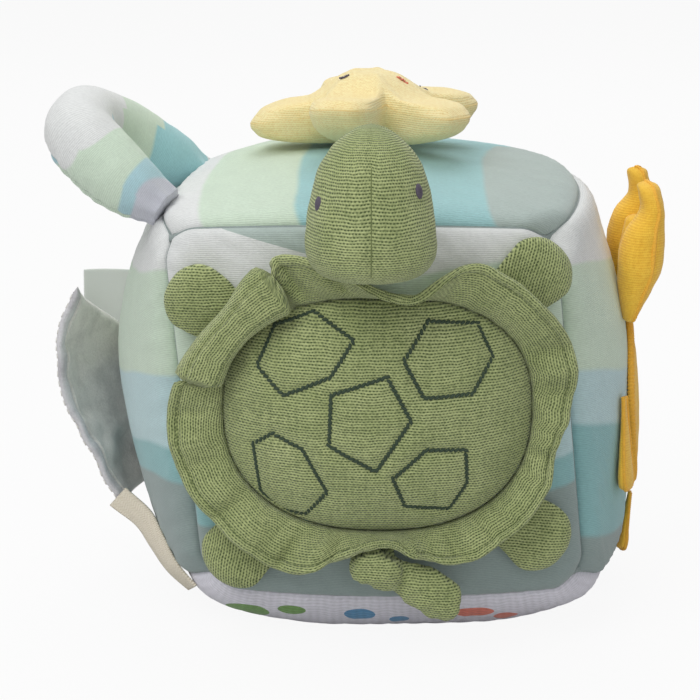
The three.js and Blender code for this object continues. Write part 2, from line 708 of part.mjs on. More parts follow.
// The tape runs from the flap's lower tip to the seam at the block's lower left edge
function makeTape() {
  const tipShare = (tapeStart - flapLow) / flapHeight;
  const start = flapMiddle(1, tipShare).add(point(flapHemThickness / 4, -flapHemThickness / 2 - gap, 0));
  const seat = seatOn(faces.left, point(0, -tapeEndDepth, lowerSeamHeight)).place;
  const end = point(seat.x - gap - tapeThickness + tapeTuck, -tapeEndDepth, tapeEndHeight);
  const run = end.clone().sub(start);
  const early = start.clone().add(point(run.x * 0.3, run.y * 0.3, run.z * 0.45));
  const late = start.clone().add(point(run.x * 0.6, run.y * 0.8, run.z * 0.95));
  const path = new THREE.CubicBezierCurve3(start, early, late, end);
  const across = point(0.62, -0.25, 0.74).normalize();
  const middle = (u, v) => path.getPoint(u).addScaledVector(across, (v - 0.5) * tapeWidth);
  const [outer, inner] = layerFaces(middle, -tapeThickness / 2, tapeThickness / 2);
  addPiece('twill_tape', layer(outer, inner, 14, 2), colours.tapeCream);
}

// The crab's flat body and its satin-stitched edge
function crabPlace(u, v, lift) {
  const y = crabHalfWidth * v * cos(2 * PI * u);
  const z = crabHeight + crabHalfHeight * v * sin(2 * PI * u);
  const { place, normal } = seatOn(faces.right, point(0, y, z));
  return place.addScaledVector(normal, gap + lift);
}

function makeCrabBody() {
  const around = 28;
  const bodyShare = 1 - (crabEdgeWidth + gap) / crabHalfWidth;
  const edgeShare = 1 - crabEdgeWidth / crabHalfWidth;
  const outer = (u, v) => crabPlace(u, v * bodyShare, crabThickness);
  const inner = (u, v) => crabPlace(u, v * bodyShare, 0);
  addPiece('crab_body', layer(outer, inner, around, 3, true), colours.ochre);
  const high = (u, v) => crabPlace(u, mix(edgeShare, 1, v), crabEdgeThickness);
  const low = (u, v) => crabPlace(u, mix(edgeShare, 1, v), 0);
  addPiece('crab_edging', layer(high, low, around, 1, true), colours.satinOchre);
}

// Each claw is a stuffed finger with a thumb beside it, both rising from the crab's body
function makeClaw(name, way) {
  const rootThicknessShare = 0.45;
  const clawHeight = crabHeight + crabHalfHeight + clawClear;
  const seat = seatOn(faces.right, point(0, way * clawSpread, clawHeight)).place;
  const root = seat.add(point(gap + (clawThickness / 2) * rootThicknessShare, 0, 0));
  const line = (v) => {
    const t = held(v);
    const risen = clawLength * (1 - cos(PI * t)) * 0.5;
    return root.clone().add(point(clawLean * sin(PI * 0.62 * t), 0, risen));
  };
  const finger = makeForm({
    line,
    side: point(0, 1, 0),
    front: point(1, 0, 0),
    halfWidth: clawWidth / 2,
    halfThickness: clawThickness / 2,
    widthShares: [0.55, 0.8, 1, 0.98, 0.8, 0.62, 0],
    thicknessShares: [rootThicknessShare, 0.7, 1, 1, 0.95, 0.75, 0],
  });
  const names = ['outer', 'inner', 'filling'].map((part) => `${name}_finger_${part}`);
  addStuffedLimb(names, finger, terry, colours.ochre, { around: 10, rings: 7 });
  const thumbRoot = root.clone().add(point(0, -way * thumbSetIn, 0));
  const thumbSeat = seatOn(faces.right, point(0, thumbRoot.y, thumbRoot.z)).place;
  thumbRoot.x = thumbSeat.x + gap + thumbThickness / 4;
  const thumb = makeForm({
    line: (v) => thumbRoot.clone().add(point(clawLean * 0.55 * held(v), 0, thumbLength * sin((PI / 2) * held(v)))),
    side: point(0, 1, 0),
    front: point(1, 0, 0),
    halfWidth: thumbWidth / 2,
    halfThickness: thumbThickness / 2,
    widthShares: [0.6, 0.9, 1, 0.95, 0.8, 0.5, 0],
    thicknessShares: [0.5, 0.8, 1, 1, 0.85, 0.55, 0],
  });
  const whole = fullForm((u, v) => thumb.surface(u, v, 0), 10, 6);
  addPiece(`${name}_thumb`, cutBy(whole, finger.grown(10, 7)), colours.ochre);
}

// Drop-shaped terry legs, flat on the right face and sewn at their upper ends
function makeLeg(name, rootY, rootZ, towards, length, width) {
  const seat = seatOn(faces.right, point(0, rootY, rootZ));
  const way = point(0, towards, -1).normalize();
  const out = way.addScaledVector(seat.normal, -way.dot(seat.normal)).normalize();
  const root = seat.place.addScaledVector(seat.normal, gap + legThickness / 2 - legSeating);
  const leg = makeForm({
    line: (v) => root.clone().addScaledVector(out, length * sin((PI / 2) * held(v))),
    side: out.clone().cross(seat.normal),
    front: seat.normal,
    halfWidth: width / 2,
    halfThickness: legThickness / 2,
    widthShares: [0.35, 0.5, 0.75, 0.95, 1, 0.68, 0],
    thicknessShares: [0.8, 0.9, 1, 1, 1, 0.9, 0],
  });
  addPiece(name, fullForm((u, v) => leg.surface(u, v, 0), 10, 6), colours.ochre);
}

function makeCrab() {
  makeCrabBody();
  for (const [end, way] of [['front', -1], ['rear', 1]]) {
    makeClaw(`claw_${end}`, way);
    makeLeg(`leg_side_${end}`, way * legSpread, legHeight, way * 0.15, legLength, legWidth);
    const lowHeight = crabHeight - crabHalfHeight * Math.sqrt(1 - (lowLegSpread / crabHalfWidth) ** 2);
    const clear = lowHeight - gap - legThickness;
    makeLeg(`leg_low_${end}`, way * lowLegSpread, clear, way * 0.12, lowLegLength, lowLegWidth);
  }
}

makeBlock();
makeShell();
makeBrim();
makeHead();
makeFeet();
makeTail();
makeStar();
makeLoop();
makeFlap();
makeLabel();
makeTape();
makeCrab();

export default group;
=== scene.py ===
"""A soft activity block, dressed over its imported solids. Metres, +Z up; the turtle looks towards -Y.

Shapes are worked out in millimetres, by the same rules as the solids, and made into meshes in metres.
"""

from math import copysign, cos, exp, floor, hypot, pi, radians, sin, sqrt
from types import SimpleNamespace as Sizes

import bmesh
import bpy
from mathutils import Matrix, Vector, noise


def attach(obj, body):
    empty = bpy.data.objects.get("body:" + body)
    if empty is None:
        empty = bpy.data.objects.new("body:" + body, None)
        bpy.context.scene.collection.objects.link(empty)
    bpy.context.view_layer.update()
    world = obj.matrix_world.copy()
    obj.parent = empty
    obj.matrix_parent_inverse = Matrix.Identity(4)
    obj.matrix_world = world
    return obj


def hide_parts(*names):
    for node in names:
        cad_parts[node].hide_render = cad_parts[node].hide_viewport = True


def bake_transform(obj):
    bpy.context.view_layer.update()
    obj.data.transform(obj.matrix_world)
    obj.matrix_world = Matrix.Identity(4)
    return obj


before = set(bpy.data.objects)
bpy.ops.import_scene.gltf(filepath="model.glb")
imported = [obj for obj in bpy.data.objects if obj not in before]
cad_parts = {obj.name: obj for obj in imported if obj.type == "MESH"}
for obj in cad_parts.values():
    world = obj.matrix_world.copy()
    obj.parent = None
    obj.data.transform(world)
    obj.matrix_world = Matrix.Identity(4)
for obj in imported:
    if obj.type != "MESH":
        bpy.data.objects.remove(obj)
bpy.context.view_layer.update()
MM = 0.001
TURN = 2 * pi


def xyz(x, y, z):
    return Vector((x, y, z))


RIGHT, BACK, FRONT, UP = xyz(1, 0, 0), xyz(0, 1, 0), xyz(0, -1, 0), xyz(0, 0, 1)


# ---- sizes, in millimetres ----
HALF = xyz(70, 70, 66.5)
SEAM_MIDDLE = 82.5
LEAN = -0.0985
SIDE_CROWN, FRONT_CROWN, BACK_CROWN, TOP_CROWN, RESTING_CROWN = 25, 20, 20, 16.5, 16.5
SIDE_BOW, LOOP_BOW, TOP_BOW = 14, 6, 4
REAR_CORNER_PULL = 24
GAP, EASE = 0.3, 0.15
# Each side's way out, across and up
SIDES = {
    "front": (FRONT, RIGHT, UP),
    "back": (BACK, -RIGHT, UP),
    "left": (-RIGHT, FRONT, UP),
    "right": (RIGHT, BACK, UP),
    "top": (UP, RIGHT, BACK),
    "bottom": (-UP, RIGHT, FRONT),
}
SHELL = Sizes(height=87, wide=53, tall=41, puff=18, cloth=1.2)
BRIM = Sizes(width=20, lift=15, cloth=2.2, tuck=1.1, round=0.43)
HEAD = Sizes(place=xyz(-2.6, -107, 136.8), wide=42.5, deep=38, tall=52)
STAR = Sizes(reach=43, notch=21, under=10, puff=17, arm=7.5, lift=8, right=-2.5, forwards=5)
LOOP = Sizes(thick=23, reach=32, rise=25.5, front=-50, rear=15)
FOOT = Sizes(long=29, wide=25, thick=8.5, outset=82.5, sewn=0.2, grain=35)
TAIL = Sizes(end=32, wide=15.2, thick=7.6, droop=-28)
FLAP = Sizes(low=30, tall=86, long=43, out=24, sewn=18, hem=6)
LABEL = Sizes(sewn=23, low=80, tall=33, long=18)
TAPE_WIDE = 10
CRAB = Sizes(radius=33, middle=70, edge=1.5)
CLAW = Sizes(at=21, height=104, wide=17, tall=50, thumb=33, thumb_wide=10, thumb_thick=7)


# ---- small helpers ----
def mix(a, b, share):
    return a + (b - a) * share


def held(t):
    return min(max(t, 0.0), 1.0)


def smooth(t):
    t = held(t)
    return t * t * (3 - 2 * t)


def share_at(shares, t):
    """A smooth value through a row of shares at even steps from 0 to 1."""
    place = held(t) * (len(shares) - 1)
    i = min(int(place), len(shares) - 2)
    f = place - i
    q, r = shares[i], shares[i + 1]
    p = shares[i - 1] if i > 0 else q
    s = shares[i + 2] if i + 2 < len(shares) else r
    return q + 0.5 * f * (r - p + f * (2 * p - 5 * q + 4 * r - s + f * (3 * (q - r) + s - p)))


def wrinkle(p, size, seed=0.0):
    return noise.noise(p / size + xyz(seed, 1.7 * seed, -seed))


def swell(t):
    return max(0.0, 1 - t * t) ** 0.85


def quarter(t):
    """Rises fast at first and flattens out."""
    return sin(pi / 2 * t)


def arch(t):
    return sin(pi * t)


def there_and_back(t):
    """Out from 0 to 1 on one face and back on the other, and whether it is the first face."""
    return (2 * t, True) if t < 0.5 else (2 - 2 * t, False)


# ---- the stuffed block's surface ----
def block_place(side, u, v):
    out, across, up = SIDES[side]
    q = out + across * (2 * u - 1) + up * (2 * v - 1)
    sx, sy, sz = swell(q.x), swell(q.y), swell(q.z)
    bow = LOOP_BOW if q.x < 0 < q.z else SIDE_BOW
    dx = sy * mix(bow, SIDE_CROWN, sz)
    dy = sx * mix(SIDE_BOW, FRONT_CROWN if q.y < 0 else BACK_CROWN, sz)
    if q.z > 0:
        dz = TOP_CROWN * sx * sy + TOP_BOW * (sx + sy - 2 * sx * sy)
    else:
        dz = RESTING_CROWN * (1 - q.x**4) * (1 - q.y**4)
    bulge = xyz(dx, dy, dz)
    p = Vector([q[i] * (HALF[i] + bulge[i] * abs(q[i])) for i in range(3)])
    p.z += SEAM_MIDDLE
    if q.x < 0 < q.z:
        p.x += REAR_CORNER_PULL * (q.x * q.z) ** 2 * (1 + q.y) / 2
    p.x += LEAN * (p.z - SEAM_MIDDLE)
    return p, q


def found_seat(side, target):
    """Searches the place on a side's outside in line with a target, and the way the side looks there."""
    out, across, up = SIDES[side]
    wide = 2 * abs(HALF.dot(across))
    tall = 2 * abs(HALF.dot(up))
    u = v = 0.5
    for _ in range(12):
        miss = target - block_place(side, u, v)[0]
        u = held(u + miss.dot(across) / wide)
        v = held(v + miss.dot(up) / tall)
    step = 0.004
    du = block_place(side, min(u + step, 1), v)[0] - block_place(side, max(u - step, 0), v)[0]
    dv = block_place(side, u, min(v + step, 1))[0] - block_place(side, u, max(v - step, 0))[0]
    normal = du.cross(dv).normalized()
    if normal.dot(out) < 0:
        normal.negate()
    return block_place(side, u, v)[0], normal


SEAT_STEP = 3
SEATS = {}


def seat_on(side, target):
    """The seat in line with a target, blended from a grid of seats that are each searched once."""
    _, across, up = SIDES[side]
    a, b = target.dot(across) / SEAT_STEP, target.dot(up) / SEAT_STEP
    i, j = floor(a), floor(b)
    seats = []
    for m, n in ((i, j), (i + 1, j), (i, j + 1), (i + 1, j + 1)):
        if (side, m, n) not in SEATS:
            SEATS[side, m, n] = found_seat(side, across * (m * SEAT_STEP) + up * (n * SEAT_STEP))
        seats.append(SEATS[side, m, n])
    low, high = ([one.lerp(two, a - i) for one, two in zip(seats[k], seats[k + 1])] for k in (0, 2))
    place, normal = (one.lerp(two, b - j) for one, two in zip(low, high))
    return place, normal.normalized()


def front_y(x, z):
    return seat_on("front", xyz(x, 0, z))[0].y


# ---- meshes ----
FACE_CORNERS = ((0, 0), (1, 0), (1, 1), (0, 1))


def only(piece):
    bpy.ops.object.select_all(action="DESELECT")
    piece.select_set(True)
    bpy.context.view_layer.objects.active = piece


def applied(piece, kind, **settings):
    only(piece)
    modifier = piece.modifiers.new(kind.title(), kind)
    for key, value in settings.items():
        setattr(modifier, key, value)
    bpy.ops.object.modifier_apply(modifier=modifier.name)
    return piece


def joined(name, parts):
    """Makes parts one piece."""
    only(parts[0])
    for part in parts:
        part.select_set(True)
    bpy.ops.object.join()
    parts[0].name = parts[0].data.name = name
    return parts[0]


def new_piece(name, places, faces):
    mesh = bpy.data.meshes.new(name)
    mesh.from_pydata([p * MM for p in places], [], faces)
    piece = bpy.data.objects.new(name, mesh)
    bpy.context.scene.collection.objects.link(piece)
    return piece


def reworked(piece, *steps):
    """Puts a piece's mesh through steps, each a function of the mesh at work."""
    work = bmesh.new()
    work.from_mesh(piece.data)
    for step in steps:
        step(work)
    work.to_mesh(piece.data)
    work.free()
    return piece


def weld(work, near=1e-6):
    bmesh.ops.remove_doubles(work, verts=work.verts, dist=near)


def face_out(work):
    bmesh.ops.recalc_face_normals(work, faces=work.faces)


def cap(work):
    """Closes the open ends of a tube."""
    open_edges = [e for e in work.edges if e.is_boundary]
    if open_edges:
        bmesh.ops.holes_fill(work, edges=open_edges, sides=0)
        bmesh.ops.triangulate(work, faces=[f for f in work.faces if len(f.verts) > 4])
    face_out(work)


def woven(name, place, across, along, ring=False, size=(1, 1), outwards=None):
    """A cloth surface of u and v, with a UV map in metres. A ring meets itself in u."""
    columns = across if ring else across + 1
    places = [place(i / across, j / along) for j in range(along + 1) for i in range(columns)]
    faces, maps = [], []
    for j in range(along):
        for i in range(across):
            k = (i + 1) % columns if ring else i + 1
            faces.append((j * columns + i, j * columns + k, (j + 1) * columns + k, (j + 1) * columns + i))
            maps.append([((i + m) / across, (j + n) / along) for m, n in FACE_CORNERS])
    piece = new_piece(name, places, faces)
    layer = piece.data.uv_layers.new(name="Cloth")
    for face, four in zip(piece.data.polygons, maps):
        for loop, (u, v) in zip(face.loop_indices, four):
            layer.data[loop].uv = (u * size[0], v * size[1])

    def turn_out(work):
        total = sum((f.normal * f.calc_area() for f in work.faces), Vector())
        if total.dot(outwards) < 0:
            bmesh.ops.reverse_faces(work, faces=work.faces)

    return reworked(piece, weld, *([turn_out] if outwards else []))


def stuffed(name, place, around, along, size=(1, 1)):
    """A closed tube of cloth."""
    return reworked(woven(name, place, around, along, ring=True, size=size), cap)


def grained(piece, rule):
    """Lays the weave by a rule from a place and the way its face looks to U and V, in metres."""
    layer = piece.data.uv_layers.get("Cloth") or piece.data.uv_layers.new(name="Cloth")
    for face in piece.data.polygons:
        for k in face.loop_indices:
            layer.data[k].uv = rule(piece.data.vertices[piece.data.loops[k].vertex_index].co, face.normal)
    return piece


def upright(p, normal):
    """The weave as seen from the front."""
    return p.x, p.z


def boxed(p, normal):
    """The weave as seen along whichever of the three directions the face looks."""
    x, y, z = (abs(n) for n in normal)
    return (p.x, p.y) if z >= max(x, y) * 0.8 else (p.x, p.z) if y >= x else (p.y, p.z)


def dressed(piece, body, nodes, finish):
    """A finished piece: smooth, in its finish, standing for its solids and riding on its body."""
    for face in piece.data.polygons:
        face.use_smooth = True
    piece.data.materials.clear()
    piece.data.materials.append(MATERIALS[finish])
    if body:
        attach(piece, body)
    if nodes:
        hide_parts(*nodes)
    return piece


def limb_surface(line, side, front, half_wide, half_thick, wide_shares, thick_shares=None):
    """A stuffed limb about a line, by the same rule as the solids."""
    thick_shares = thick_shares or wide_shares

    def place(turn, v):
        wide = half_wide * max(0.0, share_at(wide_shares, v))
        thick = half_thick * max(0.0, share_at(thick_shares, v))
        p = line(v)
        if min(wide, thick) <= 0:
            return p
        return p + side * (wide * cos(TURN * turn)) + front * (thick * sin(TURN * turn))

    return place


def seamed(place, depth, width_share, crumple, size, seed):
    """Draws a limb in along its two side seams, and crumples its cloth."""

    def shaped(turn, v):
        off = min(abs(turn % 0.5), abs(0.5 - turn % 0.5)) / width_share
        fold = -depth * exp(-off * off) * (1 - v**6)
        centre = place(0, v) + place(0.5, v)
        p = place(turn, v)
        away = p - centre / 2
        if away.length < 0.4:
            return p
        away.normalize()
        hollow = crumple * (wrinkle(p, size, seed) + 0.5 * wrinkle(p, size / 2.3, seed + 5))
        return p + away * (fold + hollow)

    return shaped


def limb(name, body, nodes, finish, form, seam, mesh, size=(1, 1), grain=None):
    """A padded limb: a form drawn in at its seams, woven and dressed."""
    piece = stuffed(name, seamed(form, *seam), *mesh, size)
    if grain:
        grained(piece, grain)
    dressed(piece, body, nodes, finish)


# ---- shader helpers ----
def linear(r, g, b):
    def one(c):
        c = c / 255
        return c / 12.92 if c <= 0.04045 else ((c + 0.055) / 1.055) ** 2.4

    return (one(r), one(g), one(b), 1.0)


def plug(socket, value):
    """Links a node's output to a socket, or sets the socket's constant."""
    if isinstance(value, Out):
        value.tree.links.new(value.socket, socket)
    else:
        socket.default_value = value


def add(tree, kind, values, out=0, **settings):
    """Adds a node with its inputs by place or name, and gives one of its outputs."""
    node = tree.nodes.new(kind)
    for key, value in settings.items():
        setattr(node, key, value)
    for key, value in values.items():
        plug(node.inputs[key], value)
    return Out(node.outputs[out])


class Out:
    """A node's output. Reckoning with it adds Math nodes to its tree."""

    def __init__(self, socket):
        self.socket, self.tree = socket, socket.id_data

    def math(self, operation, *others):
        return add(self.tree, "ShaderNodeMath", dict(enumerate((self, *others))), operation=operation)

    __add__ = __radd__ = lambda self, other: self.math("ADD", other)
    __mul__ = __rmul__ = lambda self, other: self.math("MULTIPLY", other)
    __sub__ = lambda self, other: self.math("SUBTRACT", other)
    __rsub__ = lambda self, other: add(self.tree, "ShaderNodeMath", {0: other, 1: self}, operation="SUBTRACT")
    __truediv__ = lambda self, other: self.math("DIVIDE", other)
    __pow__ = lambda self, other: self.math("POWER", other)
    __gt__ = lambda self, other: self.math("GREATER_THAN", other)
    __lt__ = lambda self, other: self.math("LESS_THAN", other)
    __abs__ = lambda self: self.math("ABSOLUTE")


def noisy(where, scale, detail=2.0, roughness=0.5, out=0):
    """A noise texture's value, or its colour as output 1."""
    values = {"Vector": where, "Scale": scale, "Detail": detail, "Roughness": roughness}
    return add(where.tree, "ShaderNodeTexNoise", values, out)


def ribbed(where, scale, way):
    return add(where.tree, "ShaderNodeTexWave", {"Vector": where, "Scale": scale}, 1, bands_direction=way)


def vectors(operation, a, b):
    return add(a.tree, "ShaderNodeVectorMath", {0: a, 1: b}, operation=operation)


def stretched(where, by):
    return add(where.tree, "ShaderNodeMapping", {0: where, 3: by})


def split(where):
    node = where.tree.nodes.new("ShaderNodeSeparateXYZ")
    plug(node.inputs[0], where)
    return [Out(socket) for socket in node.outputs]


def mixed(share, a, b, blend="MIX"):
    tree = next(value.tree for value in (share, a, b) if isinstance(value, Out))
    return add(tree, "ShaderNodeMix", {0: share, 6: a, 7: b}, 2, data_type="RGBA", blend_type=blend)


def shaded(colour, shade):
    return mixed(1.0, colour, add(shade.tree, "ShaderNodeCombineColor", {0: shade, 1: shade, 2: shade}), "MULTIPLY")


def ramp(share, stops):
    colours = add(share.tree, "ShaderNodeValToRGB", {0: share})
    points = colours.socket.node.color_ramp.elements
    while len(points) < len(stops):
        points.new(0.5)
    for point, (place, colour) in zip(points, stops):
        point.position, point.color = place, colour
    return colours


# ---- shared cloth effects, as node groups with named sockets; lengths in metres, loops and threads in millimetres ----
def jersey_loops(uv, loop):
    """Fine jersey: faint upright ribs of loops, broken up a little."""
    there = vectors("ADD", uv, vectors("MULTIPLY", noisy(uv, 90, out=1), (0.0006, 0.0006, 0)))
    wale = (split(there)[1] / loop * (TURN * 1000)).math("SINE")
    height = wale * 0.2 + noisy(stretched(there, (0.5, 1, 1)), 1500, 3, 0.6) * 0.9
    return {"Height": height, "Shade": noisy(uv, 120, 4, 0.6) * 0.14 + height * 0.34 + 0.76}


def open_weave(uv, pitch, waver):
    """Open plain weave: threads over and under each other; painted shade darkens the gaps and the threads' low parts.
    """
    centred = vectors("SUBTRACT", noisy(uv, 75, 3, 0.6, out=1), (0.5, 0.5, 0.5))
    wavering = add(uv.tree, "ShaderNodeVectorMath", {0: centred, 3: waver}, operation="SCALE")
    along, over = (part / pitch * (pi * 1000) for part in split(vectors("ADD", uv, wavering))[:2])
    row = abs(over.math("SINE"))
    dash = (along * 1.6).math("SINE") * over.math("COSINE") * 0.5 + 0.5
    # Painted shade: the gaps between the threads go dark, and the threads' tone is lighter where they are raised.
    gap = (1 - row) ** 1.1 * dash**1.2 * (noisy(uv, 380) * 2.4 - 0.2)
    raised = row * 0.8 + (1 - dash) * 0.2
    speck_and_shade = noisy(uv, 850, 2, 0.7) * 1.2 + raised * 0.5 - 0.7
    slubs = noisy(stretched(uv, (1, 0.07, 1)), 900) + noisy(stretched(uv, (0.07, 1, 1)), 900)
    height = noisy(uv, 2600) * 0.25 + raised - gap
    return {"Height": height, "Thread tone and shade": slubs * 0.42 + speck_and_shade, "Gap": gap, "Patch": noisy(uv, 48, 4, 0.65)}


def stitch_mask(uv, row, width, pitch, filled):
    """Dashes along U at one V."""
    along, across = split(uv)[:2]
    return {"Mask": (abs(across - row) < width * 0.5) * ((along / pitch).math("FRACT") < filled)}


def band_level(where, lean_x, lean_y, lean_z, wave):
    """The height of a place in wavy, leaning bands, as a share of BAND_SPAN."""
    x, y, z = split(where)
    ripple = (noisy(where, 16, 0.5) - 0.5) * 4
    return {"Level": (x * lean_x + y * lean_y + z * lean_z + ripple * wave) * (1 / BAND_SPAN)}


def new_group(name, inputs, rule):
    """A group whose rule makes the outputs from the inputs, in order. None stands for a vector."""
    tree = bpy.data.node_groups.new(name, "ShaderNodeTree")
    for title, value in inputs.items():
        kind = "NodeSocketVector" if value is None else "NodeSocketFloat"
        socket = tree.interface.new_socket(title, in_out="INPUT", socket_type=kind)
        if value is not None:
            socket.default_value = value
    made = rule(*[Out(socket) for socket in tree.nodes.new("NodeGroupInput").outputs[: len(inputs)]])
    for title in made:
        tree.interface.new_socket(title, in_out="OUTPUT", socket_type="NodeSocketFloat")
    ends = tree.nodes.new("NodeGroupOutput").inputs
    for title, value in made.items():
        plug(ends[title], value)
    return tree


BAND_SPAN = 0.2
GROUPS = {
    "knit": new_group("Jersey loops", {"UV": None, "Loop": 0.75}, jersey_loops),
    "weave": new_group("Open weave", {"UV": None, "Pitch": 0.95, "Waver": 0.0016}, open_weave),
    "dashes": new_group("Row of stitches", {"UV": None, "Row": 0, "Width": 0.0008, "Pitch": 0.004, "Filled": 0.6},
                        stitch_mask),
    "bands": new_group("Wavy band level", {"Vector": None, "Lean X": 0, "Lean Y": 0, "Lean Z": 1, "Wave": 0.004},
                       band_level),
}


def use(group, where, *values):
    """A node of one of the groups, with its inputs in order."""
    node = where.tree.nodes.new("ShaderNodeGroup")
    node.node_tree = GROUPS[group]
    for socket, value in zip(node.inputs, (where, *values)):
        plug(socket, value)
    return {socket.name: Out(socket) for socket in node.outputs}


# ---- materials ----
MATERIALS = {}


def material(key, name, rule, strength=0.4, distance=0.0006, roughness=0.92, sheen=0.25):
    """A cloth or thread. Its rule gives its colour and height from its UV map and from places in metres."""
    made = bpy.data.materials.new(name)
    made.use_nodes = True
    tree = made.node_tree
    shader = next(n for n in tree.nodes if n.type == "BSDF_PRINCIPLED").inputs
    for title, value in (("Roughness", roughness), ("Sheen Weight", sheen), ("Sheen Roughness", 0.5),
                         ("Specular IOR Level", 0.25)):
        shader[title].default_value = value
    coords = tree.nodes.new("ShaderNodeTexCoord").outputs
    colour, height = rule(Out(coords["UV"]), Out(coords["Object"]))
    plug(shader["Base Color"], colour)
    plug(shader["Normal"], add(tree, "ShaderNodeBump", {"Strength": strength, "Distance": distance, "Height": height}))
    MATERIALS[key] = made


PALE, MINT, BLUE, AQUA = linear(226, 228, 227), linear(206, 223, 204), linear(190, 216, 219), linear(146, 190, 192)
GREY_GREEN, SAGE = linear(150, 165, 163), linear(176, 190, 185)
SKY, LILAC, TURQUOISE = linear(172, 206, 214), linear(196, 198, 208), linear(160, 208, 214)
TOP_BLUE, SEAM_GREY, WHITE = linear(160, 202, 204), linear(120, 134, 130), (1, 1, 1, 1)
BAND_EDGE = 0.004
LOOP_SEAM = 0.17
LOOP_ROUND = 0.072
LOOP_LONG = 0.15


def stepped(bands, span, edge):
    """Colour stops with narrow edges between bands, each given as (where it ends, colour)."""
    stops = []
    for i, (end, colour) in enumerate(bands):
        if i:
            stops.append((held(bands[i - 1][0] / span + edge), colour))
        if end is not None:
            stops.append((held(end / span - edge), colour))
    return stops


def jersey(uv, colour):
    knit = use("knit", uv)
    return shaded(colour, knit["Shade"]), knit["Height"]


def knit_material(side, bands, lean=(0, 0, 1), wave=0.004, wedge=None):
    def rule(uv, here):
        colour = ramp(use("bands", here, *lean, wave)["Level"], stepped(bands, BAND_SPAN, BAND_EDGE))
        if wedge:
            slope, above, right, ink = wedge
            over = use("bands", here, slope, 0, 1, 0.002)["Level"]
            colour = mixed((over > above / BAND_SPAN) * (split(here)[0] < right), colour, ink)
        return jersey(uv, colour)

    material(side, f"Knit, {side}", rule, 0.35, 0.0005)


def loop_rule(uv, here):
    """The loop's bands run round it: V goes from its front root to its rear one."""
    turn, along = split(uv)[:2]
    share = ((noisy(uv, 34, 0.5) - 0.5) * 0.03 + along) / LOOP_LONG

    inner = ramp(share, stepped([(0.055, LILAC), (0.105, SKY), (0.295, MINT), (0.605, PALE), (0.785, MINT),
                                 (0.965, TURQUOISE), (None, PALE)], 1, 0.005))
    outer = ramp(share, stepped([(0.055, LILAC), (0.315, MINT), (0.425, SKY), (0.565, PALE), (0.745, MINT),
                                 (0.965, TURQUOISE), (None, PALE)], 1, 0.005))
    past_seam = (turn > LOOP_ROUND * LOOP_SEAM) * (turn < LOOP_ROUND * 0.67)
    on_seam = abs(turn - LOOP_ROUND * LOOP_SEAM) < 0.0003
    return jersey(uv, mixed(on_seam * 0.5, mixed(past_seam, inner, outer), SEAM_GREY))


BASE_OVALS = (
    (-0.046, 0.0085, 0.008, 0.0035, linear(120, 160, 92)),
    (-0.030, 0.0110, 0.005, 0.0022, linear(120, 160, 92)),
    (-0.006, 0.0100, 0.0055, 0.0028, linear(96, 150, 190)),
    (0.008, 0.0072, 0.0035, 0.0020, linear(96, 150, 190)),
    (0.034, 0.0105, 0.0075, 0.0022, linear(226, 130, 112)),
    (0.046, 0.0070, 0.0045, 0.0022, linear(226, 130, 112)),
)


def base_rule(uv, here):
    """Pale ribbed jersey with plain ovals along the foot of its front: middle, half sizes and ink of each."""
    rib = ribbed(uv, 110, "X")
    colour = linear(228, 226, 236)
    east, north, up = split(here)
    for x, z, wide, tall, ink in BASE_OVALS:
        far = ((east - x) / wide) ** 2 + ((up - z) / tall) ** 2
        colour = mixed((far < 1) * (north < 0), colour, ink)
    knit = use("knit", uv, 0.9)
    return shaded(colour, (rib * 0.07 + 0.94) * knit["Shade"]), rib * 0.5 + knit["Height"]


def weave_material(key, name, light, dark, shade_and_stitch_ink, pitch=0.95, waver=0.0022, depth=1.45, strength=0.6, hem=None):
    """Open weave cloth, a little mottled, with painted shade in its gaps and perhaps a topstitched hem."""
    def rule(uv, here):
        cloth = use("weave", uv, pitch, waver)
        base = mixed(cloth["Patch"] * 1.6 - 0.3, dark, light)
        # Painted shade: the threads' low parts and the gaps between them go towards the darkest colour.
        toned_and_shaded = mixed(cloth["Thread tone and shade"] * 1.15 + 0.02, shade_and_stitch_ink, base)
        colour = mixed((cloth["Gap"] * depth).math("MINIMUM", 1.0), toned_and_shaded, shade_and_stitch_ink)
        if hem:
            colour = mixed(use("dashes", uv, hem, 0.0006, 0.0024, 0.72)["Mask"] * 0.6, colour, shade_and_stitch_ink)
        return colour, cloth["Height"]

    material(key, name, rule, strength, 0.0005)


def thread_material(key, name, ink, scale=2400, depth=0.4, least=0.78, strength=0.4, roughness=0.6, sheen=0.1):
    def rule(uv, here):
        twist = noisy(here, scale)
        return shaded(ink, twist * depth + least), twist

    material(key, name, rule, strength, 0.0003, roughness, sheen)


def suede_material(key, name, dark, light):
    def rule(uv, here):
        nap = noisy(here, 1300, 3)
        clouds = ramp(noisy(here, 70, 6, 0.68), [(0.38, dark), (0.56, light)])
        return shaded(clouds, nap * 0.3 + 0.84), nap

    material(key, name, rule, roughness=0.95, sheen=0.4)


def ribbon_rule(uv, here):
    weft = ribbed(uv, 900, "Y")
    return mixed(weft, linear(204, 209, 203), linear(222, 226, 220)), weft


def tape_rule(uv, here):
    """Herringbone: slanting rows that turn back at each rib."""
    along, across = split(uv)[:2]
    slant = ((across.math("PINGPONG", 0.0017) * 1.6 + along) * (TURN / 0.0012)).math("SINE")
    return mixed(slant * 0.5 + 0.5, linear(224, 212, 188), linear(252, 244, 226)), slant


def two_tone(scale, detail, low, high):
    def rule(uv, here):
        fluff = noisy(here, scale, detail)
        return mixed(fluff, low, high), fluff

    return rule


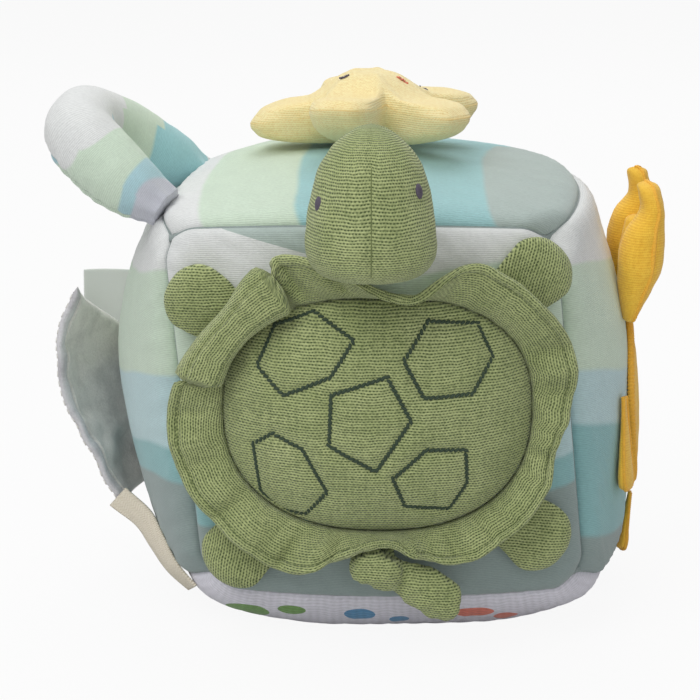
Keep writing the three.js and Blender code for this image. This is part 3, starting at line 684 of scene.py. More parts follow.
knit_material("left", [(0.047, GREY_GREEN), (0.058, AQUA), (0.083, BLUE), (0.121, MINT), (None, PALE)], (0, 0.14, 1))
knit_material("front", [(0.050, GREY_GREEN), (0.060, AQUA), (0.080, BLUE), (0.133, MINT), (None, PALE)], (-0.12, 0, 1),
              0.0025, (0.207, 0.1372, 0.004, SAGE))
knit_material("right", [(0.026, GREY_GREEN), (0.062, AQUA), (0.080, BLUE), (0.121, MINT), (None, PALE)], (0, 0.2, 1))
knit_material("back", [(0.050, GREY_GREEN), (0.066, AQUA), (0.095, BLUE), (0.128, MINT), (None, PALE)], (0.1, 0, 1))
knit_material("top", [(0.041, PALE), (0.077, MINT), (0.142, TOP_BLUE), (None, SAGE)], (1, -0.12, 0.62), 0.003)
material("loop", "Knit, hang loop", loop_rule, 0.35, 0.0005)
material("bottom", "Ribbed jersey, base", base_rule, 0.35)
# Each weave's darkest colour is painted shade in its gaps and low threads; on the brim it also colours the topstitch.
LEAF, OLIVE, SHADE_AND_STITCH_GREEN = linear(206, 214, 156), linear(168, 180, 120), linear(72, 90, 46)
weave_material("muslin", "Open weave muslin, green", LEAF, OLIVE, SHADE_AND_STITCH_GREEN)
weave_material("brim", "Open weave muslin, hemmed", LEAF, OLIVE, SHADE_AND_STITCH_GREEN, hem=0.0452)
weave_material("star", "Waffle weave, yellow", linear(255, 246, 198), linear(254, 236, 174), linear(236, 204, 130),
               0.8, 0.0014, 0.45, 0.35)
weave_material("ochre", "Twill weave, ochre", linear(255, 214, 88), linear(252, 200, 66), linear(230, 168, 50),
               0.6, 0.001, 0.3, 0.25)
for key, ink in (("seam", linear(150, 162, 160)), ("seam_green", linear(120, 132, 84))):
    thread_material(key, f"Sewing thread, {key}", ink, 1200, 0.3, 0.8, 0.3, 0.92, 0.25)
thread_material("satin", "Satin stitch, ochre", linear(244, 184, 66), 1500)
thread_material("thread", "Chain stitch, dark green", linear(58, 74, 58))
thread_material("eye", "Satin stitch, dark violet", linear(92, 84, 98), 1800)
thread_material("coral", "Satin stitch, coral", linear(226, 128, 104), 1800)
thread_material("white", "Running stitch, white", linear(232, 230, 224))
thread_material("violet", "Zigzag stitch, dark violet", linear(92, 88, 98))
suede_material("suede", "Mottled suede cloth, grey", linear(212, 209, 205), linear(234, 231, 226))
suede_material("hem", "Turned hem, violet grey", linear(182, 180, 184), linear(214, 213, 216))
material("ribbon", "Satin ribbon, grey", ribbon_rule, 0.2, 0.0002, 0.45, 0.1)
material("tape", "Herringbone tape, cream", tape_rule, 0.5, 0.0004, 0.9, 0.2)
material("wadding", "Fibre wadding, white", two_tone(500, 6, linear(226, 226, 222), linear(248, 248, 245)), 0.6,
         roughness=1.0, sheen=0.3)
material("star_edge", "Edge stitches, straw", two_tone(900, 2, linear(240, 206, 132), linear(252, 228, 166)), 0.4,
         0.0003, 0.8, 0.2)


# ---- the block's six panels ----
PANEL_SEEDS = {"front": 1, "back": 4, "left": 7, "right": 10, "top": 13, "bottom": 16}
SEAM_ROLL, SEAM_DEPTH, CORNER_ROLL, CORNER_DEPTH = 8.5, 3.0, 15, 3.4
SEAM_SUNK, SEAM_THREAD, WADDING_INSET = 3.5, 1.15, 7


def panel_shape(side):
    out = SIDES[side][0]
    seed = PANEL_SEEDS[side]

    def place(u, v):
        p, q = block_place(side, u, v)
        rolled = Vector()
        edge = 0.0
        corner = 1.0
        for i in range(3):
            from_seam = HALF[i] - abs(q[i]) * HALF[i]
            near = held(1 - from_seam / SEAM_ROLL) ** 2
            rolled[i] = -copysign(near, q[i])
            corner *= smooth(1 - from_seam / CORNER_ROLL)
            if abs(out[i]) < 0.5:
                edge = max(edge, near)
        inwards = Vector([-copysign(1, q[i]) for i in range(3)]) * (CORNER_DEPTH * corner)
        from_edge = min(u, 1 - u, v, 1 - v) * 2 * HALF.x
        along = p.x + p.y * 1.03 + p.z * 0.97
        pucker = 0.6 * exp(-from_edge / 11) * sin(along * TURN / 8.5 + 4 * wrinkle(p, 17, seed))
        waves = 0.9 * wrinkle(p, 38, seed) + 0.35 * wrinkle(p, 14, seed + 2)
        drag = 0.9 * abs(wrinkle(xyz(p.x * 0.35, p.y, p.z * 1.6), 22, seed + 5)) * exp(-from_edge / 30)
        ripple = (pucker + (waves - drag) * smooth(from_edge / 12)) * (1 - edge)
        p = p + rolled * (SEAM_DEPTH * edge) + inwards + out * ripple
        if side == "bottom":
            p.z = max(p.z - 4.5 * (1 - q.x**8) * (1 - q.y**8) * (1 - edge), 0.0)
        return p

    return place


def make_panels():
    slots = {"front": "mint_knit", "back": "mint_knit", "left": "blue_knit", "right": "blue_knit",
             "top": "pale_grey_knit", "bottom": "lilac_rib"}
    for side, slot in slots.items():
        panel = woven(f"{side}_knit_panel", panel_shape(side), 84, 84, size=(0.15, 0.15), outwards=SIDES[side][0])
        applied(panel, "SOLIDIFY", thickness=0.0014, offset=-1)
        dressed(panel, "block", [f"{side}_panel"], side)
    make_seams()


def make_wadding():
    """The stuffing, well inside the panels' seams."""
    parts = []
    for side in SIDES:

        def place(u, v, side=side):
            p, q = block_place(side, u, v)
            return p - q * WADDING_INSET

        parts.append(woven("wadding", place, 24, 24, outwards=SIDES[side][0]))
    wadding = reworked(joined("block_wadding", parts), lambda work: weld(work, 2e-5), face_out)
    dressed(wadding, "block", ["block_filling"], "wadding")


def make_seams():
    """The sewn lines down in the creases between the panels."""
    parts = []
    for axis, a, b in ((axis, a, b) for a in (-1, 1) for b in (-1, 1) for axis in range(3)):
        one, two = (axis + 1) % 3, (axis + 2) % 3
        side = ("left", "front", "bottom")[one] if a < 0 else ("right", "back", "top")[one]
        _, over, up = SIDES[side]

        def tube(u, v, axis=axis, a=a, b=b, one=one, two=two, side=side, over=over, up=up):
            q, ring, inwards = Vector(), Vector(), Vector()
            q[axis], q[one], q[two] = 2 * (0.012 + 0.976 * v) - 1, a, b
            ring[one], ring[two] = cos(TURN * u), sin(TURN * u)
            inwards[one], inwards[two] = -a, -b
            p = block_place(side, (q.dot(over) + 1) / 2, (q.dot(up) + 1) / 2)[0]
            corner = smooth(1 - (1 - abs(q[axis])) * HALF[axis] / CORNER_ROLL)
            every = Vector([-copysign(1, q[i]) for i in range(3)])
            return p + inwards * SEAM_SUNK + every * (CORNER_DEPTH * corner) + ring * SEAM_THREAD

        parts.append(stuffed("seam", tube, 8, 60, (0.007, 0.14)))
    dressed(joined("panel_seams", parts), "block", [], "seam")


# ---- the turtle's shell ----
SHELL_PATCHES = [
    [(-34.7, 118.4), (-21.5, 123.6), (-8.1, 115.4), (-16, 103.5), (-31.8, 96.2), (-40.7, 104.9)],
    [(16.6, 120.8), (33.5, 118.8), (38.7, 107.8), (31.7, 96.7), (15.2, 96.6), (8.5, 108.8)],
    [(2.9, 103.9), (10.9, 89.2), (-0.7, 71.3), (-16.4, 80.2), (-15.7, 97.7)],
    [(-42.3, 77.5), (-35.6, 82.5), (-25.5, 78.2), (-17.2, 62.7), (-24.8, 52.3), (-33.8, 52.8), (-40, 59.2)],
    [(5, 68.6), (16, 78.8), (29.5, 77.7), (30.2, 65.1), (24.3, 55.5), (9.2, 57.6)],
]
SHELL_ROUNDNESS = 2.4


def shell_share(x, z):
    """How far out a place lies on the shell: 1 is its sewn edge, a little fuller than an ellipse."""
    power = SHELL_ROUNDNESS
    return (abs(x / SHELL.wide) ** power + abs((z - SHELL.height) / SHELL.tall) ** power) ** (1 / power)


def shell_at(angle, share):
    """The place on the shell's outline in one direction."""
    x, z = SHELL.wide * cos(angle), SHELL.tall * sin(angle)
    out = share / shell_share(x, SHELL.height + z)
    return x * out, SHELL.height + z * out


def to_patch_edge(x, z):
    """The distance to the nearest stitched line of the shell."""
    best = 1e9
    here = Vector((x, z))
    for patch in SHELL_PATCHES:
        for a, b in zip(patch, patch[1:] + patch[:1]):
            a, b = Vector(a), Vector(b)
            t = held((here - a).dot(b - a) / (b - a).length_squared)
            best = min(best, (here - a.lerp(b, t)).length)
    return best


def shell_front(x, z, v):
    rise = (SHELL.puff - SHELL.cloth) * swell(v) ** 0.7
    return front_y(x, z) - GAP - EASE - SHELL.cloth - rise


def shell_shape(u, v):
    v = quarter(v)
    x, z = shell_at(TURN * u, v)
    y = shell_front(x, z, v)
    if v < 0.97:
        sunk = 1.3 * exp(-((to_patch_edge(x, z) / 2.2) ** 2))
        p = xyz(x, y, z)
        y += sunk - 0.3 * wrinkle(p, 7, 3) - 0.5 * wrinkle(p, 18, 9)
    return xyz(x, y, z)


def bead_mesh(name, beads, around=8, rows=5):
    """Small rounded stitches: each has a place and its three half axes."""
    places, faces = [], []
    for place, one, two, three in beads:
        start = len(places)
        for j in range(rows + 1):
            b = pi * j / rows
            for i in range(around):
                a = TURN * i / around
                places.append(place + one * cos(b) + (two * cos(a) + three * sin(a)) * sin(b))
        for j in range(rows):
            for i in range(around):
                faces.append([start + (j + n) * around + (i + m) % around for m, n in FACE_CORNERS])
    return reworked(new_piece(name, places, faces), lambda work: weld(work, 1e-7), face_out)


def stitch_row(name, places, normals, body, finish, long, wide, thick, slant=0.42, closed=True):
    """A rope of stitches, each lying a little across the row."""
    beads = []
    last = len(places) - 1
    for i, (p, n) in enumerate(zip(places, normals)):
        ahead = places[(i + 1) % len(places)] - places[i - 1]
        if not closed:
            ahead = places[min(i + 1, last)] - places[max(i - 1, 0)]
        ahead.normalize()
        n = n.normalized()
        across = n.cross(ahead).normalized()
        one = (ahead + across * slant).normalized()
        two = n.cross(one)
        jitter = 1 + 0.12 * noise.noise(p * 0.9)
        beads.append((p, one * (long / 2 * jitter), two * (wide / 2), n * (thick / 2 * jitter)))
    return dressed(bead_mesh(name, beads), body, [], finish)


def walk(points, step):
    """Places at even steps round a closed line of 2-D points."""
    made = []
    carry = 0.0
    for a, b in zip(points, points[1:] + points[:1]):
        a, b = Vector(a), Vector(b)
        length = (b - a).length
        t = carry
        while t < length:
            made.append(a.lerp(b, t / length))
            t += step
        carry = t - length
    return made


def make_shell():
    shell = woven("quilted_shell", shell_shape, 168, 60, ring=True, outwards=FRONT)
    applied(shell, "SOLIDIFY", thickness=0.001, offset=-1)
    grained(shell, upright)
    dressed(shell, "block", ["shell_cover"], "muslin")

    def surface(x, z):
        flat = xyz(x, shell_front(x, z, shell_share(x, z)), z)
        return flat + xyz(0, 1.05 - 0.3 * wrinkle(flat, 7, 3) - 0.5 * wrinkle(flat, 18, 9), 0)

    for i, patch in enumerate(SHELL_PATCHES):
        places, normals = [], []
        for x, z in walk(patch, 1.7):
            places.append(surface(x, z))
            normal = (surface(x, z + 0.5) - places[-1]).cross(surface(x + 0.5, z) - places[-1]).normalized()
            normals.append(-normal if normal.y > 0 else normal)
        stitch_row(f"shell_patch_stitches_{i + 1}", places, normals, "block", "thread", 2.4, 1.25, 0.9,
                   0.6)
    places, normals = [], []
    for k in range(52):
        angle = radians(152 + 1.6 * k)
        x, z = shell_at(angle, 1.004)
        places.append(xyz(x, front_y(x, z) - GAP - EASE - SHELL.cloth - 0.6, z))
        normals.append(xyz(cos(angle) * 0.5, -1, sin(angle) * 0.5).normalized())
    stitch_row("shell_edge_stitches", places, normals, "block", "thread", 1.9, 0.36, 0.3, closed=False)


# ---- the brim ----
BRIM_WIDTH_SHARES = [0.62, 0.85, 0.94, 0.96, 0.98, 0.9, 0.12, 0.08, 0.3, 0.75, 1.08, 0.96, 0.74, 0.74, 0.82, 0.93,
                     1, 1.02, 0.98, 0.98, 0.98, 0.5, 0.16, 0.1, 0.42, 0.74, 0.74, 0.72, 0.69, 0.5, 0.62]
BRIM_LIFT_SHARES = [0.55, 0.5, 0.62, 0.74, 0.74, 0.66, 0.72, 0.74, 0.76, 0.82, 0.74, 0.76, 0.92, 0.9, 0.6, 0.44,
                    0.44, 0.58, 0.7, 0.8, 0.72, 0.9, 0.86, 0.8, 0.9, 0.76, 0.8, 0.82, 0.62, 0.6, 0.55]
# The brim's cross-section in shares of its width and in millimetres of height, lying flat and rolled over
BRIM_ROLL_OUT_SHARES = [0, 0.34, 0.7, 0.96, 1.04, 0.96, 0.78, 0.5, 0.2, 0.0]
BRIM_ROLL_RISE_SHARES = [0.06, 0.12, 0.22, 0.38, 0.58, 0.82, 0.98, 1.0, 0.9, 0.68]
BRIM_ROLL_HEIGHT = 11.5
# Folds that run out from the shell: degrees, half width in degrees, and how far they rise or sink
BRIM_FOLDS = [
    (20, 3.5, -2.6), (13, 3, 1.6), (5, 3, -2.2), (-3, 3, 1.2), (-16, 3, -2.4), (-24, 4, 1.4), (34, 5, 0.8),
    (121, 2.2, -3.2), (127, 2, 1.6), (112, 3.5, 1.6), (104, 3, -2.0), (181, 3, -1.8), (190, 4, 1.5), (198, 3, -1.7),
    (207, 4, 1.4), (214, 3, -2.0), (222, 4, 1.5), (231, 3, -1.4), (238, 3.5, -3.4), (246, 4, 3.4), (254, 3, -2.2),
    (284, 3, 2.4), (290, 3, -2.0), (300, 3, -2.0), (307, 4, 1.6), (316, 3, -1.8), (326, 4, 1.4), (336, 3, -2.2),
]


def rolled_share(turn):
    degrees = (turn % 1.0) * 360
    return smooth((degrees - 123) / 6) * smooth((171.5 - degrees) / 3.5)


def brim_shape(u, v):
    turn = u % 1.0
    angle = TURN * turn
    cloth = BRIM.cloth
    v = held(v)
    outline = 1 / shell_share(cos(angle), SHELL.height + sin(angle))
    sewn = outline + GAP + cloth / 2 - BRIM.tuck
    fuller = outline - 1 / hypot(cos(angle) / SHELL.wide, sin(angle) / SHELL.tall)
    width = BRIM.width * share_at(BRIM_WIDTH_SHARES, turn) - fuller
    lift = GAP + cloth + (BRIM.lift - cloth) * share_at(BRIM_LIFT_SHARES, turn) * v**0.55
    roll = rolled_share(turn)
    reach = sewn + mix(width * v, width * share_at(BRIM_ROLL_OUT_SHARES, v), roll)
    lift = mix(lift, GAP + cloth + BRIM_ROLL_HEIGHT * share_at(BRIM_ROLL_RISE_SHARES, v), roll)
    x, z = reach * cos(angle), SHELL.height + reach * sin(angle)
    sewn_seat = front_y(sewn * cos(angle), SHELL.height + sewn * sin(angle))
    ring = xyz(cos(angle), sin(angle), 0) * 60
    gathers = 0.9 * sin(angle * 40 + 3 * wrinkle(ring, 9, 2)) * exp(-5 * v)
    folds = 0.0
    for degrees, half_width, depth in BRIM_FOLDS:
        off = ((turn * 360 - degrees + 180) % 360 - 180) / half_width
        if abs(off) < 3:
            folds += depth * exp(-off * off)
    folds *= smooth(v * 2.2) * (1 - 0.35 * smooth((v - 0.8) / 0.2)) * (1 - roll)
    cloth_place = ring + xyz(0, 0, v * 20)
    crumple = 0.7 * v * wrinkle(cloth_place, 7, 6) + 0.4 * wrinkle(cloth_place, 3.5, 8) * v
    lift += gathers * 0.5 + folds + crumple + 0.5
    return xyz(x, mix(sewn_seat, front_y(x, z), held(v) / 2) - lift, z)


def measured_rows(piece, columns, rows, edge_row, round_length):
    """Lays the weave by real lengths along each column, counted from the row at the cloth's edge."""
    at = [v.co for v in piece.data.vertices]
    heights = []
    for i in range(columns):
        run = [0.0]
        for j in range(rows):
            run.append(run[-1] + (at[(j + 1) * columns + i] - at[j * columns + i]).length)
        heights.append([0.05 - abs(length - run[edge_row]) for length in run])
    layer = piece.data.uv_layers["Cloth"]
    for k, face in enumerate(piece.data.polygons):
        j, i = divmod(k, columns)
        if j >= rows:
            break
        for loop, (m, n) in zip(face.loop_indices, FACE_CORNERS):
            layer.data[loop].uv = ((i + m) / columns * round_length, heights[(i + m) % columns][j + n])


def make_brim():
    """Doubled cloth: two faces that part at the turned hem and meet at the topstitch."""
    around, across = 300, 26

    def layered(u, v):
        """v goes out along the front face and back along the rear one."""
        s, front = there_and_back(v)
        s = quarter(s) if s > 0 else 0.0
        step_u, step_v = 0.002, 0.02
        du = brim_shape(u + step_u, s) - brim_shape(u - step_u, s)
        dv = brim_shape(u, min(s + step_v, 1)) - brim_shape(u, max(s - step_v, 0))
        over = rolled_share(u) >= 0.5 and s >= 0.35
        normal = (dv.cross(du) if over else du.cross(dv)).normalized()
        if normal.y > 0 and (not over or s > 0.62):
            normal.negate()
        half = 0.75 + 0.95 * smooth((s - 0.8) / 0.08) - 0.45 * exp(-(((s - 0.79) / 0.025) ** 2))
        half *= sqrt(max(0.0, 1 - s**24))
        return brim_shape(u, s) + normal * (half if front else -half)

    brim = woven("gathered_brim", layered, around, across * 2, ring=True)
    measured_rows(brim, around, across * 2, across, BRIM.round)
    reworked(brim, lambda work: bmesh.ops.bridge_loops(work, edges=[e for e in work.edges if e.is_boundary]), face_out)
    applied(brim, "SMOOTH", factor=0.35, iterations=1)
    dressed(brim, "block", ["shell_brim"], "brim")


# ---- the head ----
EGG_SHARES = [0, 0.7, 0.98, 1, 0.94, 0.83, 0.6, 0.29, 0]
# Each eye's turn round the head, in degrees, and its height as a share of the head's
EYES = {"left": (241, 0.518), "right": (124.7, 0.5716)}
EYE = Sizes(wide=1.75, tall=2.6, deep=0.75)


def head_line(v):
    return HEAD.place + xyz(0, 0, HEAD.tall * (1 - cos(pi * held(v))) / 2)


head_form = limb_surface(head_line, BACK, RIGHT, HEAD.deep / 2, HEAD.wide / 2, EGG_SHARES)


def make_head():
    limb("stuffed_head", "turtle_head", ["head_right_cover", "head_left_cover"], "muslin",
         head_form, (1.0, 0.012, 0.5, 9, 21), (96, 56), (0.13, 0.07))
    place, normal = seat_on("front", xyz(HEAD.place.x, 0, 138))
    root = place + normal * (GAP + 2 * EASE)
    into = HEAD.place + xyz(0, 0, HEAD.tall / 4)
    neck = limb_surface(lambda v: root.lerp(into, held(v)), RIGHT, UP, 10, 4, [0.75, 0.9, 1, 1], [0.5, 0.8, 1, 1])
    limb("sewn_neck", "turtle_head", ["head_neck"], "muslin", neck, (0.2, 0.03, 0.4, 4, 25),
         (48, 12), (0.05, 0.02))
    places, normals = [], []
    for k in range(64):
        v = 0.06 + 0.86 * k / 63
        p = head_form(0.5, v)
        drift = 2.2 * arch(v) - 1.2
        places.append(p + BACK)
        normals.append(xyz(drift / 21, -1, 0.25 * (v - 0.5)).normalized())
    stitch_row("head_seam_stitches", places, normals, "turtle_head", "seam_green", 1.5, 0.5, 0.4, 0.2,
               False)
    for name, (degrees, v) in EYES.items():
        turn = degrees / 360
        p = head_form(turn, v)
        along = (head_form(turn, v + 0.02) - head_form(turn, v - 0.02)).normalized()
        across = (head_form(turn + 0.01, v) - head_form(turn - 0.01, v)).normalized()
        normal = across.cross(along)
        if normal.dot(p - head_line(v)) < 0:
            normal.negate()

        def oval(u, r, p=p, along=along, across=across, normal=normal):
            ridge = 0.14 * sin(u * TURN * 26) * (1 - r)
            x, y = EYE.wide * r * cos(TURN * u), EYE.tall * r * sin(TURN * u)
            rows = 0.12 * sin(y * TURN / 0.55)
            height = EYE.deep * sqrt(max(0, 1 - r * r)) + rows * (1 - r * r) + ridge * 0.2 - 0.35
            bend = -(x * x) / 42 - (y * y) / 70
            return p + across * x + along * y + normal * (height + bend + 0.1)

        eye = woven(f"{name}_eye", oval, 48, 12, ring=True, size=(0.02, 0.003), outwards=normal)
        applied(eye, "SOLIDIFY", thickness=0.0005, offset=-1)
        dressed(eye, "turtle_head", [], "eye")


# ---- the feet ----
FOOT_THICK_SHARES = [0.36, 0.46, 0.7, 0.94, 1, 0.66, 0]
FOOT_LIFT_SHARES = [0.36, 0.46, 0.7, 0.94, 1, 1, 1]
FOOT_TURNS = {"upper_left": 0.411, "upper_right": 0.114, "lower_left": 0.6306, "lower_right": 0.8903}


def make_feet():
    for corner, turn in FOOT_TURNS.items():
        degrees = turn * 360
        way = xyz(cos(radians(degrees)), 0, sin(radians(degrees)))
        outset = FOOT.outset - FOOT.long * (1 - FOOT.sewn)
        place, normal = seat_on("front", way * outset + xyz(0, 0, SHELL.height))
        out = (way - normal * way.dot(normal)).normalized()
        start = place - out * (FOOT.long * FOOT.sewn) + normal * (GAP + EASE)

        def line(v, start=start, out=out, normal=normal):
            v = held(v)
            lift = FOOT.thick / 2 * share_at(FOOT_LIFT_SHARES, v)
            return start + out * (FOOT.long * quarter(v)) + normal * lift

        across = out.cross(normal)
        form = limb_surface(line, across, normal, FOOT.wide / 2, FOOT.thick / 2,
                            [0.76, 0.86, 0.98, 1, 0.78, 0.45, 0], FOOT_THICK_SHARES)
        c, s = cos(radians(FOOT.grain)), sin(radians(FOOT.grain))

        def grain(p, _, start=start, out=out, across=across):
            a, b = (p - start * MM).dot(out), (p - start * MM).dot(across)
            return a * c - b * s, a * s + b * c

        limb(f"stuffed_foot_{corner}", f"foot_{corner}", [f"foot_{corner}_front", f"foot_{corner}_back"],
             "muslin", form, (0.5, 0.02, 0.3, 6, degrees), (64, 32), grain=grain)


# ---- the tail ----
def make_tail():
    strap_seat = seat_on("front", xyz(HEAD.place.x + 6.5, 0, 43))[0]
    knot_seat = seat_on("front", xyz(0, 0, 34))[0]
    centre = knot_seat + xyz(0, -GAP - 7.5, 0)
    root = strap_seat + xyz(0, -GAP - EASE - 1.38, -2.3)
    strap = limb_surface(lambda v: root.lerp(centre, held(v)), RIGHT, FRONT, 6.5, 2.3, [0.4, 0.5, 0.7, 0.8],
                         [0.5, 0.8, 1, 1])
    droop = radians(TAIL.droop)
    way = xyz(cos(droop), -0.08, sin(droop)).normalized()
    side = way.cross(BACK).normalized()

    def end_line(v):
        v = held(v)
        return centre + way * (TAIL.end * quarter(v)) + side * (1.2 * sin(4 * v))

    loose = limb_surface(end_line, side, FRONT, TAIL.wide / 2, TAIL.thick / 2,
                         [0.45, 0.74, 1.02, 1.05, 0.9, 0.55, 0])

    def wrap(middle, ring, tall, fat, tilt):
        lean = xyz(cos(tilt), 0, sin(tilt))
        up = xyz(-sin(tilt), 0, cos(tilt))

        def place(u, v):
            a, b = TURN * u, TURN * v
            spoke = lean * cos(a) + FRONT * sin(a)
            swollen = fat * (1 + 0.12 * sin(3 * a))
            return middle + spoke * (ring + swollen * cos(b)) + up * (tall * sin(b))

        return place

    tail = joined("knotted_tail", [
        stuffed("knot_strap", strap, 32, 10),
        stuffed("knot_end", loose, 40, 26),
        woven("knot_wrap_left", wrap(centre + xyz(-3.0, -0.6, 1.0), 2.6, 5.6, 4.2, 0.5), 40, 16, ring=True),
        woven("knot_wrap_right", wrap(centre + xyz(2.0, -1.4, -0.8), 2.6, 6.0, 4.0, -0.5), 40, 16, ring=True),
    ])
    applied(tail, "REMESH", mode="VOXEL", voxel_size=0.0007)
    applied(tail, "SMOOTH", factor=0.5, iterations=3)
    for vertex in tail.data.vertices:
        p = vertex.co / MM
        vertex.co += vertex.normal * (0.8 * wrinkle(p, 4.2, 31) + 0.4 * wrinkle(p, 2.0, 37)) * MM
    grained(tail, upright)
    dressed(tail, "tail", ["turtle_tail"], "muslin")


# ---- the starfish ----
STAR_ARMS = [(28, 0.3), (100, 0.8), (176, -0.35), (255, 1), (318, 0.4)]
STAR_ARM_SHARES = [1, 0.985, 0.74, 0.2, 0]


def star_place(u, v, way):
    count = len(STAR_ARMS)
    place = (u % 1.0) * count
    i = int(place) % count
    share = place - int(place)
    start, start_lift = STAR_ARMS[i]
    end, end_lift = STAR_ARMS[(i + 1) % count]
    if end <= start:
        end += 360
    angle = radians(mix(start, end, share))
    reach = mix(STAR.notch, STAR.reach, share_at(STAR_ARM_SHARES, 1 - abs(1 - 2 * share)))
    lift = STAR.lift * mix(start_lift, end_lift, smooth(share))
    arm = STAR.arm * sqrt(max(0.0, 1 - v**6))
    puff = (STAR.puff if way > 0 else STAR.under) - STAR.arm
    hump = 0.5 + 0.5 * cos(pi * held((reach * v - 5) / 21)) if way > 0 else (1 - v) ** 2 * (1 + v)
    z = STAR_SEAM + lift * v * v + way * (arm + puff * hump)
    return xyz(STAR.right + reach * v * cos(angle), reach * v * sin(angle) - STAR.forwards, z)


STAR_SEAM = seat_on("top", xyz(STAR.right, -STAR.forwards, 0))[0].z + GAP + STAR.under


def star_skin(u, r, way):
    """The starfish's surface, a little crumpled."""
    p = star_place(u, r, way)
    crumple = 0.35 * wrinkle(p, 9, 41) + 0.2 * wrinkle(p, 4, 43)
    p.z += way * crumple * (1 - r**4)
    return p


def make_star():
    def place(u, v):
        r, upper = there_and_back(v)
        way = 1 if upper else -1
        r = quarter(r)
        p = star_skin(u, min(r, 1.0), way)
        off = (1 - r) * 40
        p.z -= way * 0.5 * exp(-((off - 1.2) ** 2) / 0.8)
        return p

    star = stuffed("stuffed_starfish", place, 200, 72, (0.36, 0.11))
    grained(star, boxed)
    dressed(star, "starfish", ["starfish_top", "starfish_underside", "starfish_filling"], "star")
    places, normals = [], []
    count = 300
    for k in range(count):
        p = star_place(k / count, 0.999, 1)
        out = xyz(p.x - STAR.right, p.y + STAR.forwards, 0).normalized()
        places.append(p - out * 0.1)
        normals.append((out + xyz(0, 0, 0.2)).normalized())
    stitch_row("starfish_edge_stitches", places, normals, "starfish", "star_edge", 1.3, 0.45, 0.4, 0.5)

    def face_stitches(name, middle, along, count, long, finish):
        """A few satin stitches side by side."""
        beads = []
        for k in range(count):
            share = (k - (count - 1) / 2) / max(count - 1, 1)
            at = middle + along * (share * long)
            top = max((star_skin(i / 180, r / 20, 1) for i in range(180) for r in range(0, 12)),
                      key=lambda q, at=at: -((q.x - at.x) ** 2 + (q.y - at.y) ** 2))
            across = xyz(-along.y, along.x, 0)
            size = 1.25 * sqrt(max(0.15, 1 - (2 * share) ** 2))
            beads.append((xyz(at.x, at.y, top.z + 0.15), across * size, along * 0.34, xyz(0, 0, 0.4)))
        return dressed(bead_mesh(name, beads), "starfish", [], finish)

    face_stitches("starfish_eye_left", xyz(-11.5, -13, 0), xyz(0.96, 0.28, 0), 7, 3.2, "eye")
    face_stitches("starfish_eye_right", xyz(17.5, 1.5, 0), xyz(0.8, -0.6, 0), 7, 3.2, "eye")
    face_stitches("starfish_mouth", xyz(9.5, -10.5, 0), xyz(0.98, -0.2, 0), 8, 3.8, "coral")


# ---- the hang loop ----
LOOP_SEAT = xyz(5, 0, -2.5)
LOOP_PATH_SHARES = [(0, 0, 0), (0.46, 0.07, 0.34), (0.9, 0.24, 0.8), (0.93, 0.46, 0.92), (0.79, 0.66, 0.72),
                    (0.42, 0.82, 0.34), (0, 1, 0)]
LOOP_WIDTH_SHARES = [0.9, 1.06, 1.1, 1.1, 1.08, 1.06, 1.08, 1.1, 1.1, 1.0, 0.8]
LOOP_THICK_SHARES = [0.6, 0.92, 1.08, 1.12, 1.1, 1.06, 1.1, 1.12, 1.04, 0.86, 0.5]


def smooth_path(points, steps=24):
    """A centripetal curve through points, as evenly spaced places."""
    ends = [points[0] * 2 - points[1], *points, points[-1] * 2 - points[-2]]
    made = []
    for p0, p1, p2, p3 in zip(ends, ends[1:], ends[2:], ends[3:]):
        t1 = sqrt((p1 - p0).length)
        t2 = t1 + sqrt((p2 - p1).length)
        t3 = t2 + sqrt((p3 - p2).length)
        for k in range(steps):
            t = mix(t1, t2, k / steps)
            a1 = p0.lerp(p1, t / t1)
            a2 = p1.lerp(p2, (t - t1) / (t2 - t1))
            a3 = p2.lerp(p3, (t - t2) / (t3 - t2))
            b1 = a1.lerp(a2, t / t2)
            b2 = a2.lerp(a3, (t - t1) / (t3 - t1))
            made.append(b1.lerp(b2, (t - t1) / (t2 - t1)))
    made.append(points[-1])
    lengths = [0.0]
    for a, b in zip(made, made[1:]):
        lengths.append(lengths[-1] + (b - a).length)

    def at(v):
        goal = held(v) * lengths[-1]
        i = min(max(next((k for k, s in enumerate(lengths) if s >= goal), len(lengths) - 1), 1), len(lengths) - 1)
        span = lengths[i] - lengths[i - 1]
        return made[i - 1].lerp(made[i], (goal - lengths[i - 1]) / span if span else 0)

    return at


def ahead_on(path, v):
    return (path(min(v + 0.01, 1)) - path(max(v - 0.01, 0))).normalized()


